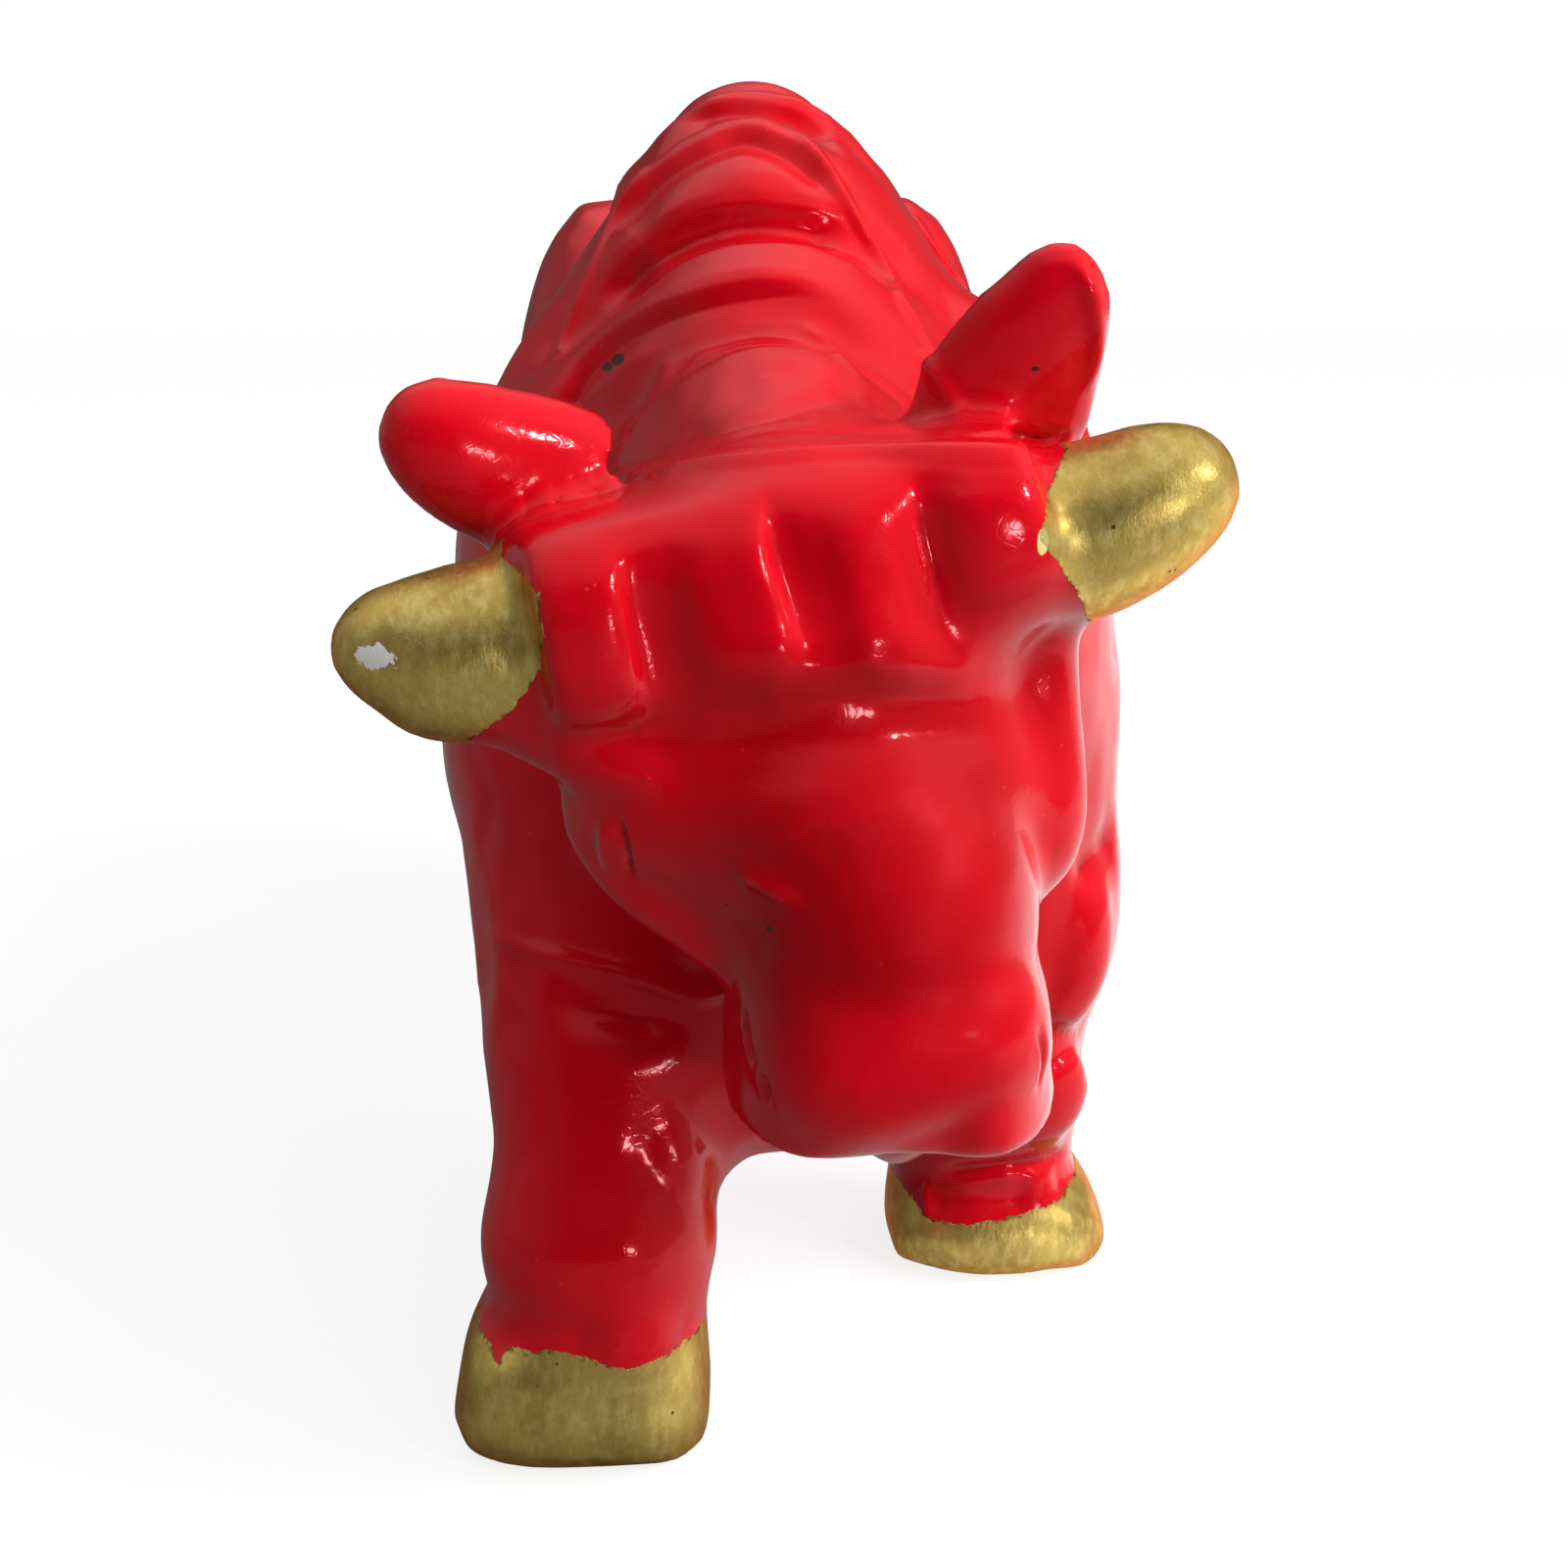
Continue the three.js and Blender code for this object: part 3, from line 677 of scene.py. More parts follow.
HORNS = (
    Loft(
        stations=(
            ((640, 652), -100, 8.6, 8.2),
            ((560, 660), -102, 9.5, 9.0),
            ((500, 665), -103, 9.6, 9.3),
            ((450, 668), -104, 8.9, 8.7),
            ((420, 667), -104.6, 8.1, 8.0),
            ((390, 666), -105, 6.8, 6.8),
            ((366, 669), -105.4, 5.4, 5.4),
            ((345, 673), -105.6, 3.3, 3.3),
            ((331, 677), -105.7, 0.2, 0.2),
        ),
        across=(0, 0, 1),
    ),
    Loft(
        stations=(
            ((1000, 545), -96.5, 8.8, 8.6),
            ((1040, 548), -97, 9.2, 9.0),
            ((1090, 545), -98, 9.5, 9.2),
            ((1140, 528), -99, 8.9, 8.8),
            ((1180, 508), -99.8, 8.1, 8.1),
            ((1212, 492), -100.4, 7.0, 7.0),
            ((1237, 480), -100.8, 5.5, 5.5),
            ((1256, 471), -101, 3.2, 3.2),
            ((1265, 467), -101.1, 0.2, 0.2),
        ),
        across=(0.45, 0, 0.9),
    ),
)
PADS = (
    Loft((((1050, 620), -96.5, 5.5, 5.5), ((1052, 700), -97, 5.4, 5.5), ((1050, 770), -98, 6.2, 6.0),
          ((1046, 825), -99.5, 6.8, 6.4), ((1040, 870), -100, 6.2, 6.0),
          ((1025, 915), -100, 4.0, 4.0)), (1, 0, 0)),
    Loft((((520, 700), -101, 6.2, 7.0), ((590, 735), -104, 6.4, 7.0), ((650, 770), -106, 6.0, 7.0),
          ((720, 790), -107, 5.0, 6.0)), (0, 0, 1)),
    Loft((((598, 800), -102.5, 3.4, 4.0), ((612, 850), -103, 3.6, 4.5), ((650, 900), -104.5, 3.8, 4.5),
          ((705, 945), -105.5, 3.6, 4.5), ((755, 990), -106, 3.0, 4.0)), (1, 0, 0)),
    Loft((((1085, 870), -50, 5.0, 5.0), ((1090, 930), -52, 6.2, 6.0), ((1086, 985), -53, 6.2, 6.0),
          ((1066, 1035), -54, 5.0, 5.0)), (1, 0, 0)),
    Loft((((1036, 1058), -54, 6.4, 5.0), ((1050, 1108), -54, 8.4, 5.5),
          ((1040, 1152), -54, 6.4, 5.0)), (1, 0, 0)),
    Loft((((885, 790), -104, 13, 11.0), ((890, 850), -104, 15.5, 16.0), ((897, 910), -104, 16.5, 18.6),
          ((903, 970), -104, 16.0, 19.0), ((905, 1040), -104, 14, 18.6),
          ((905, 1110), -104, 13, 18.2)), (1, 0, 0)),
    Loft((((850, 960), -104, 9, 15.0), ((835, 1010), -104, 10, 18.2), ((832, 1065), -104, 10, 18.8),
          ((832, 1115), -104, 10, 18.4)), (1, 0, 0)),
    Loft((((960, 960), -104, 9, 15.0), ((972, 1010), -104, 10, 18.2), ((978, 1065), -104, 10, 18.8),
          ((978, 1115), -104, 10, 18.4)), (1, 0, 0)),
    Loft((((898, 1005), -78, 5.0, 4.0), ((912, 1070), -78, 6.5, 6.0), ((920, 1130), -77, 6.5, 6.0),
          ((909, 1165), -73, 4.0, 4.0)), (1, 0, 0)),
)
COARSE_STROKES = (
    Stroke(((600, 756), (680, 762), (780, 758), (880, 750), (990, 744), (1050, 732)),
           5, 0.8, Section.HOLLOW),
    Stroke(((720, 880), (800, 850), (900, 828), (1000, 815), (1060, 815)), 6, 0.7, Section.SWELL),
    Stroke(((728, 925), (762, 955), (800, 975)), 3.2, 0.8, Section.HOLLOW, 0.45),
    Stroke(((1036, 1216), (1062, 1212), (1080, 1204)), 3.0, 1.0, Section.SWELL, 0.4),
    Stroke(((700, 690), (780, 684), (860, 678), (940, 678), (1010, 676)), 4.5, 0.45, Section.SWELL, 0.3),
    Stroke(((726, 1155), (700, 1180), (664, 1206)), 5.0, 1.7, Section.SWELL, 0.45),
    Stroke(((590, 1364), (645, 1372), (700, 1362)), 4.2, 1.7, Section.SWELL, 0.4),
    Stroke(((545, 1002), (600, 1030), (690, 1046), (730, 1050)), 3.6, 1.4, Section.HOLLOW, 0.4),
    Stroke(((937, 245), (962, 292), (985, 335)), 3.6, 1.4, Section.HOLLOW, 0.35),
    Stroke(((1088, 900), (1112, 880), (1140, 850)), 4.0, 1.4, Section.HOLLOW, 0.3),
)
FINE_STROKES = (
    Stroke(((578, 412), (600, 373), (640, 340), (687, 318), (740, 304), (800, 298), (866, 308)),
           2.6, 1.3, Section.FOLD, 0.15),
    Stroke(((612, 318), (640, 282), (680, 252), (740, 228), (800, 226), (840, 235), (866, 250)),
           2.8, 1.5, Section.FOLD, 0.15),
    Stroke(((618, 245), (640, 213), (680, 172), (749, 139), (800, 150), (835, 178), (860, 215)),
           2.8, 1.5, Section.FOLD, 0.18),
    Stroke(((648, 165), (680, 128), (749, 110), (800, 118), (830, 134), (860, 165)),
           2.4, 1.2, Section.FOLD, 0.18),
    Stroke(((650, 452), (693, 446), (773, 428), (850, 405), (893, 392)), 3.0, 0.6, Section.FOLD, 0.35),
    Stroke(((800, 322), (832, 342), (860, 368), (892, 396)), 1.5, 0.5, Section.RIDGE, 0.3),
    Stroke(((805, 120), (850, 185), (895, 260), (925, 315), (954, 367)), 1.5, 0.7, Section.RIDGE, 0.25),
    Stroke(((905, 188), (925, 214), (958, 262), (990, 300)), 1.5, 0.8, Section.RIDGE, 0.25),
    Stroke(((667, 166), (632, 212), (606, 270), (580, 335), (558, 396)), 1.5, 0.6, Section.RIDGE, 0.25),
    Stroke(((505, 552), (560, 520), (630, 493), (720, 474), (850, 462), (960, 460), (1068, 462)),
           2.2, 0.8, Section.RIDGE, 0.15),
    Stroke(((663, 735), (658, 673), (645, 603), (637, 545)), 1.8, 0.85, Section.FOLD, 0.45),
    Stroke(((832, 685), (812, 621), (795, 560), (780, 490)), 1.8, 1.0, Section.FOLD, 0.45),
    Stroke(((968, 650), (956, 590), (944, 538), (932, 470)), 1.7, 0.9, Section.FOLD, 0.45),
    Stroke(((560, 752), (610, 758), (664, 742), (720, 716)), 3.0, 0.6, Section.FOLD, 0.35),
    Stroke(((670, 728), (760, 722), (850, 716), (940, 714), (1020, 718)), 4.0, 0.8, Section.FOLD, 0.3),
    Stroke(((738, 886), (762, 893), (790, 908), (826, 933)), 1.6, 0.9, Section.RIDGE, 0.35),
    Stroke(((650, 908), (642, 885), (636, 855), (628, 826)), 0.8, 0.8, Section.GROOVE, 0.3),
    Stroke(((620, 832), (618, 862), (626, 900)), 1.3, 0.7, Section.RIDGE, 0.35),
    Stroke(((758, 1030), (764, 1062), (770, 1092)), 1.0, 0.9, Section.GROOVE, 0.35),
    Stroke(((778, 1095), (781, 1112), (785, 1130)), 1.4, 1.0, Section.GROOVE, 0.4),
    Stroke(((1058, 1042), (1066, 1078), (1058, 1118)), 0.9, 0.8, Section.GROOVE, 0.35),
    Stroke(((490, 950), (560, 975), (645, 996), (706, 1016), (738, 1010)),
           1.6, 0.9, Section.RIDGE, 0.25),
    Stroke(((1068, 1092), (1090, 1070), (1118, 1050)), 2.2, 1.2, Section.GROOVE, 0.3),
    Stroke(((950, 1198), (1010, 1192), (1064, 1184), (1098, 1170)), 1.8, 0.9, Section.GROOVE, 0.25),
    Stroke(((943, 1202), (946, 1225), (949, 1250)), 1.4, 0.6, Section.RIDGE, 0.3),
    Stroke(((940, 362), (962, 395), (990, 442)), 1.5, 0.7, Section.RIDGE, 0.35),
    Stroke(((1088, 258), (1112, 296), (1119, 345), (1108, 410)), 1.6, 0.9, Section.RIDGE, 0.3),
    Stroke(((970, 450), (1010, 446), (1045, 444), (1090, 452)), 1.4, 0.8, Section.GROOVE, 0.3),
)


@dataclass(frozen=True)
class Plane:
    """A plane in millimetres, and the side of it that a casting keeps."""

    at: Point
    facing: Point

    def beyond(self, points: np.ndarray) -> np.ndarray:
        """Says which points the casting keeps.

        Args:
            points: rows of coordinates in millimetres.

        Returns:
            True for each point on the kept side.
        """
        return (points - np.array(self.at)) @ np.array(self.facing) > 0


@dataclass(frozen=True)
class Casting:
    """One casting of the bull, cut from the clay body.

    The planes bound it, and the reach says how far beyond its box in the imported
    model it may lie. The rim says how far its cut edges turn inwards, and the
    heart is the point that its widest cut closes on. All are in millimetres.
    """

    name: str
    planes: tuple[Plane, ...] = ()
    slot: str = "red_glaze"
    reach: float = 7
    rim: float = 2.5
    heart: Point | None = None
    loft: Loft | None = None

    def box(self) -> tuple[np.ndarray, np.ndarray]:
        """Gives the space that the casting lies in.

        Returns:
            Its lowest and highest corners in millimetres.
        """
        low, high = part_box(self.name)
        return np.array(low) / MM - self.reach, np.array(high) / MM + self.reach

    def holds(self, centres: np.ndarray) -> np.ndarray:
        """Finds the faces of the casting.

        Args:
            centres: the centres of the body's faces in millimetres.

        Returns:
            True for each face that belongs to it.
        """
        low, high = self.box()
        inside = ((centres > low) & (centres < high)).all(1)
        for plane in self.planes:
            inside &= plane.beyond(centres)
        if self.loft is not None:
            inside &= self.loft.holds(centres)
        return inside


UNDER_EAR = (0, -0.5, -0.866)
EAR_EDGES = ((-33, -93, 103.5), (24, -92, 115.5))
MIDDLE_X = 0.6
LEG_TOP = 47
LEG_GAP = 8.4
CUT_MARGIN = 3


def in_head(place: Point) -> Point:
    """Turns a place beside the head's middle into one in the frame.

    Args:
        place: the place in millimetres.

    Returns:
        The place in the frame.
    """
    return tuple(HEAD_AT + HEAD_TURN @ np.array(place))


def lower_leg(name: str, side: int, y: float, towards: int, paint_height: float) -> tuple[Casting, Casting]:
    """Describes a hoof and the leg above it.

    Args:
        name: the leg's name.
        side: 1 for the bull's left and -1 for its right.
        y: where the leg ends towards the belly, in millimetres.
        towards: 1 for a hind leg and -1 for a foreleg.
        paint_height: where the gold ends, in millimetres.

    Returns:
        The hoof's casting and the leg's.
    """
    hoof = name.replace("foreleg", "forehoof").replace("hind_leg", "hind_hoof")
    corner = (
        Plane((0, 0, LEG_TOP), (0, 0, -1)),
        Plane((MIDDLE_X + side * LEG_GAP, 0, 0), (side, 0, 0)),
        Plane((0, y, 0), (0, towards, 0)),
    )
    paint = Plane((0, 0, paint_height), (0, 0, -1))
    return Casting(hoof, (paint,), "gold_paint"), Casting(name, corner)


def castings() -> tuple[Casting, ...]:
    """Lists the castings from the ends of the bull inwards.

    Returns:
        The castings, each of which takes what the ones before it leave.
    """
    legs = (
        lower_leg("foreleg_right", -1, -34.9, -1, 15),
        lower_leg("foreleg_left", 1, -16.9, -1, 11),
        lower_leg("hind_leg_right", -1, 59.9, 1, 15),
        lower_leg("hind_leg_left", 1, 53.9, 1, 11),
    )
    horns = tuple(
        Casting(
            "horn_" + name,
            (
                Plane(in_head((side * 26, 0, 0)), tuple(HEAD_TURN @ np.array((side, -0.12, 0.05)))),
                Plane(edge, UNDER_EAR),
            ),
            "gold_paint",
        )
        for name, side, edge in (("right", -1, EAR_EDGES[0]), ("left", 1, EAR_EDGES[1]))
    )
    ears = (
        Casting(
            "ear_right",
            (Plane(tuple(VIEW.at_depth((508, 480), -93)), (-0.816, -0.05, 0.578)),),
            loft=EARS[0],
        ),
        Casting(
            "ear_left",
            (Plane(tuple(VIEW.at_depth((1048, 378), -89.5)), (0.67, -0.05, 0.74)),),
            loft=EARS[1],
        ),
    )
    head = Plane((0, -86.5, 86), (0, -0.985, 0.17))
    neck = Plane((0, -5.52, 156), (0, -0.755, 0.656))
    return (
        *(part for leg in legs for part in leg),
        *ears,
        *horns,
        Casting("head_shell", (head, Plane((0, 0, LEG_TOP), (0, 0, 1))), reach=14, rim=5),
        Casting("neck_shell", (neck, Plane((0, 0, 74), (0, 0, 1))), rim=5),
        Casting("torso_shell", reach=60, rim=5, heart=(-11, -77, 96)),
    )


@dataclass
class Pottery:
    """The castings that the clay body falls into, with their glaze and paint."""

    body: bpy.types.Object
    pieces: dict[str, bpy.types.Object] = field(default_factory=dict)

    def build(self) -> dict[str, bpy.types.Object]:
        """Cuts the body apart, closes each casting and keeps the body's shading.

        Returns:
            The castings by name.
        """
        self.keep_facings()
        parts = castings()
        self.cut(parts)
        self.sort_faces(parts)
        by_name = {part.name: part for part in parts}
        make_active(self.body)
        bpy.ops.object.mode_set(mode="EDIT")
        bpy.ops.mesh.separate(type="MATERIAL")
        bpy.ops.object.mode_set(mode="OBJECT")
        for piece in list(bpy.context.selected_objects):
            name = piece.data.materials[0].name
            piece.name = piece.data.name = "glazed_" + name
            self.close(piece, by_name[name])
            self.pieces[name] = piece
        for piece in self.pieces.values():
            piece.data.materials.clear()
        for part in parts:
            bpy.data.materials.remove(bpy.data.materials[part.name])
        return self.pieces

    def keep_facings(self) -> None:
        """Stores the body's normals, so that no seam shows where it is cut."""
        mesh = self.body.data
        kept = mesh.attributes.new("facing", "FLOAT_VECTOR", "POINT")
        kept.data.foreach_set("vector", facings(mesh).astype(np.float32).ravel())

    def cut(self, parts: tuple[Casting, ...]) -> None:
        """Divides the faces that the castings' planes cross.

        Args:
            parts: the castings.
        """
        mesh = self.body.data
        centres = centres_of(mesh)
        near = np.zeros(len(centres), bool)
        for part in parts:
            low, high = part.box()
            inside = ((centres > low - CUT_MARGIN) & (centres < high + CUT_MARGIN)).all(1)
            for plane in part.planes:
                height = (centres - np.array(plane.at)) @ np.array(plane.facing)
                near |= inside & (np.abs(height) < CUT_MARGIN)
        mesh.polygons.foreach_set("hide", ~near)
        make_active(self.body)
        bpy.ops.object.mode_set(mode="EDIT")
        bpy.ops.mesh.select_mode(type="FACE")
        for plane in dict.fromkeys(plane for part in parts for plane in part.planes):
            bpy.ops.mesh.select_all(action="SELECT")
            bpy.ops.mesh.bisect(plane_co=np.array(plane.at) * MM, plane_no=plane.facing, threshold=1e-6)
        bpy.ops.mesh.reveal(select=False)
        bpy.ops.object.mode_set(mode="OBJECT")

    def sort_faces(self, parts: tuple[Casting, ...]) -> None:
        """Gives each face the slot of the first casting that holds it.

        Args:
            parts: the castings in order.
        """
        mesh = self.body.data
        mesh.materials.clear()
        centres = centres_of(mesh)
        chosen = np.full(len(centres), -1, np.int32)
        for index, part in enumerate(parts):
            mesh.materials.append(bpy.data.materials.new(part.name))
            chosen[(chosen < 0) & part.holds(centres)] = index
        mesh.polygons.foreach_set("material_index", chosen)

    def close(self, piece: bpy.types.Object, part: Casting) -> None:
        """Closes a casting where it was cut and restores its shading.

        The cut edge first turns inwards, so that the closing faces stay inside the clay.

        Args:
            piece: the casting.
            part: what the casting is.
        """
        mesh = piece.data
        make_active(piece)
        bpy.ops.object.mode_set(mode="EDIT")
        bpy.ops.mesh.select_mode(type="EDGE")
        bpy.ops.mesh.select_all(action="DESELECT")
        bpy.ops.mesh.select_non_manifold(
            use_wire=False, use_multi_face=False, use_non_contiguous=False, use_verts=False
        )
        bpy.ops.mesh.extrude_edges_move()
        bpy.ops.object.mode_set(mode="OBJECT")
        rim = np.empty(len(mesh.vertices), bool)
        mesh.vertices.foreach_get("select", rim)
        points = places(mesh)
        points[rim] -= self.kept_facings(mesh)[rim] * part.rim * MM
        set_places(mesh, points)
        bpy.ops.object.mode_set(mode="EDIT")
        bpy.ops.mesh.fill_holes(sides=0)
        bpy.ops.mesh.poke()
        bpy.ops.object.mode_set(mode="OBJECT")
        if part.heart:
            heart = np.array(part.heart) * MM
            middles = places(mesh)
            nearest = len(points) + np.linalg.norm(middles[len(points):] - heart, axis=1).argmin()
            middles[nearest] = heart
            set_places(mesh, middles)
        mesh.normals_split_custom_set_from_vertices(self.kept_facings(mesh))
        mesh.attributes.remove(mesh.attributes["facing"])

    def kept_facings(self, mesh: bpy.types.Mesh) -> np.ndarray:
        """Reads the stored normals.

        Args:
            mesh: the mesh that carries them.

        Returns:
            One row for each vertex.
        """
        kept = np.empty(len(mesh.vertices) * 3, np.float32)
        mesh.attributes["facing"].data.foreach_get("vector", kept)
        return kept.reshape(-1, 3)


@dataclass
class Tail:
    """The tail, a piece of its own that lies down the rump."""

    grain: float = 0.6
    passes: int = 14

    def build(self) -> bpy.types.Object:
        """Smooths a copy of the tail's casting.

        Returns:
            The finished tail.
        """
        piece = bpy.data.objects.new("glazed_tail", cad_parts["tail"].data.copy())
        piece.data.materials.clear()
        bpy.context.scene.collection.objects.link(piece)
        weld(piece)
        apply_modifier(piece, "REMESH", mode="VOXEL", voxel_size=self.grain * MM)
        set_places(piece.data, relaxed(piece, self.passes))
        make_active(piece)
        bpy.ops.object.shade_smooth()
        return piece


class Graph:
    """The nodes of a material or of the world, with short calls for the ones used here."""

    def __init__(self, owner: bpy.types.Material | bpy.types.World) -> None:
        """Opens the nodes.

        Args:
            owner: the material or the world.
        """
        owner.use_nodes = True
        self.nodes = owner.node_tree.nodes
        self.links = owner.node_tree.links

    def put(self, socket: Socket, value: Input) -> None:
        """Links or sets one input.

        Args:
            socket: the input.
            value: an output socket, or a number, vector or colour.
        """
        if isinstance(value, bpy.types.NodeSocket):
            self.links.new(value, socket)
        elif isinstance(value, tuple) and len(value) == 3 and socket.type == "RGBA":
            socket.default_value = (*value, 1)
        else:
            socket.default_value = value

    def math(self, operation: str, *values: Input, clamp: bool = False) -> Socket:
        """Adds one sum.

        Args:
            operation: the kind of sum.
            values: its inputs.
            clamp: keeps the answer from 0 to 1.

        Returns:
            The answer.
        """
        node = self.nodes.new("ShaderNodeMath")
        node.operation = operation
        node.use_clamp = clamp
        for socket, value in zip(node.inputs, values):
            self.put(socket, value)
        return node.outputs[0]

    def product(self, first: Input, second: Input) -> Socket:
        """Multiplies two inputs."""
        return self.math("MULTIPLY", first, second)

    def total(self, first: Input, second: Input, clamp: bool = False) -> Socket:
        """Adds two inputs."""
        return self.math("ADD", first, second, clamp=clamp)

    def rest_of(self, share: Input) -> Socket:
        """Takes a share away from 1."""
        return self.math("SUBTRACT", 1.0, share)

    def spread(
        self, value: Input, low: float, high: float, to_low: float = 0, to_high: float = 1
    ) -> Socket:
        """Maps a value along a soft curve.

        Args:
            value: the value.
            low: where the curve starts.
            high: where it ends.
            to_low: the answer at the start.
            to_high: the answer at the end.

        Returns:
            The mapped value.
        """
        node = self.nodes.new("ShaderNodeMapRange")
        node.interpolation_type = "SMOOTHSTEP"
        for socket, given in zip(node.inputs, (value, low, high, to_low, to_high)):
            self.put(socket, given)
        return node.outputs[0]

    def mix(self, share: Input, first: Input, second: Input) -> Socket:
        """Mixes two colours.

        Args:
            share: how much of the second there is.
            first: the colour at 0.
            second: the colour at 1.

        Returns:
            The mixed colour.
        """
        node = self.nodes.new("ShaderNodeMix")
        node.data_type = "RGBA"
        self.put(node.inputs[0], share)
        self.put(node.inputs[6], first)
        self.put(node.inputs[7], second)
        return node.outputs[2]

    def blend(self, share: Input, first: Input, second: Input) -> Socket:
        """Mixes two numbers.

        Args:
            share: how much of the second there is.
            first: the number at 0.
            second: the number at 1.

        Returns:
            The mixed number.
        """
        node = self.nodes.new("ShaderNodeMix")
        for socket, value in zip((node.inputs[0], node.inputs[2], node.inputs[3]), (share, first, second)):
            self.put(socket, value)
        return node.outputs[0]


class Surface(Graph):
    """The nodes of one material, with patterns in millimetres over the surface."""

    def __init__(self, name: str) -> None:
        """Starts a material with one shader.

        Args:
            name: the material's name.
        """
        self.material = bpy.data.materials.new(name)
        super().__init__(self.material)
        self.shader = self.nodes["Principled BSDF"]
        coordinates = self.nodes.new("ShaderNodeTexCoord")
        scale = self.nodes.new("ShaderNodeVectorMath")
        scale.operation = "SCALE"
        scale.inputs["Scale"].default_value = 1 / MM
        self.links.new(coordinates.outputs["Object"], scale.inputs[0])
        self.place = scale.outputs[0]

    def noise(
        self, per_mm: float, detail: float = 2, rough: float = 0.5, stretch: Point = (1, 1, 1)
    ) -> Socket:
        """Adds noise over the surface.

        Args:
            per_mm: how many grains there are in a millimetre.
            detail: how many finer layers it has.
            rough: how strong these are.
            stretch: the grain's scale along each axis.

        Returns:
            Numbers around 0.5.
        """
        place = self.place
        if stretch != (1, 1, 1):
            pull = self.nodes.new("ShaderNodeVectorMath")
            pull.operation = "MULTIPLY"
            self.put(pull.inputs[0], place)
            self.put(pull.inputs[1], stretch)
            place = pull.outputs[0]
        node = self.nodes.new("ShaderNodeTexNoise")
        self.put(node.inputs["Vector"], place)
        node.inputs["Scale"].default_value = per_mm
        node.inputs["Detail"].default_value = detail
        node.inputs["Roughness"].default_value = rough
        return node.outputs[0]

    def cells(self, per_mm: float, feature: str = "F1") -> Socket:
        """Adds a field of cells over the surface.

        Args:
            per_mm: how many cells there are in a millimetre.
            feature: what is measured in each cell.

        Returns:
            The distance in cells.
        """
        node = self.nodes.new("ShaderNodeTexVoronoi")
        node.feature = feature
        self.put(node.inputs["Vector"], self.place)
        node.inputs["Scale"].default_value = per_mm
        return node.outputs["Distance"]

    def attribute(self, name: str) -> Socket:
        """Reads a number that the mesh carries.

        Args:
            name: the attribute's name.

        Returns:
            Its value.
        """
        node = self.nodes.new("ShaderNodeAttribute")
        node.attribute_name = name
        return node.outputs["Fac"]

    def near(self, mark: "Mark") -> Socket:
        """Finds the surface inside a mark.

        Args:
            mark: the mark.

        Returns:
            1 inside and 0 outside, with a ragged edge.
        """
        away = self.nodes.new("ShaderNodeVectorMath")
        away.operation = "SUBTRACT"
        self.put(away.inputs[0], self.place)
        self.put(away.inputs[1], tuple(mark.at))
        squeeze = self.nodes.new("ShaderNodeVectorMath")
        squeeze.operation = "DIVIDE"
        self.put(squeeze.inputs[0], away.outputs[0])
        self.put(squeeze.inputs[1], mark.radii)
        length = self.nodes.new("ShaderNodeVectorMath")
        length.operation = "LENGTH"
        self.put(length.inputs[0], squeeze.outputs[0])
        waver = self.math("SUBTRACT", self.noise(1.4 / min(mark.radii), 3), 0.5)
        edge = self.total(length.outputs["Value"], self.product(waver, mark.ragged))
        return self.spread(edge, 1.0, 1.0 - mark.soft)


@dataclass(frozen=True)
class Mark:
    """An oval round a point, in millimetres: a small blemish, a patch of duller glaze or a patch of painted
    shade.
    """

    at: tuple[float, ...]
    radii: Point
    ragged: float = 0.8
    soft: float = 0.12


def seen_at(pixel: Pixel, y: float, radii: Point, ragged: float = 0.8, soft: float = 0.12) -> Mark:
    """Places a mark behind a pixel of the photograph's frame.

    Args:
        pixel: the place in the frame.
        y: its Y in millimetres.
        radii: the mark's half sizes in millimetres.
        ragged: how ragged its edge is.
        soft: how wide its edge is, as a share of its size.

    Returns:
        The mark.
    """
    return Mark(tuple(VIEW.at_depth(pixel, y)), radii, ragged, soft)


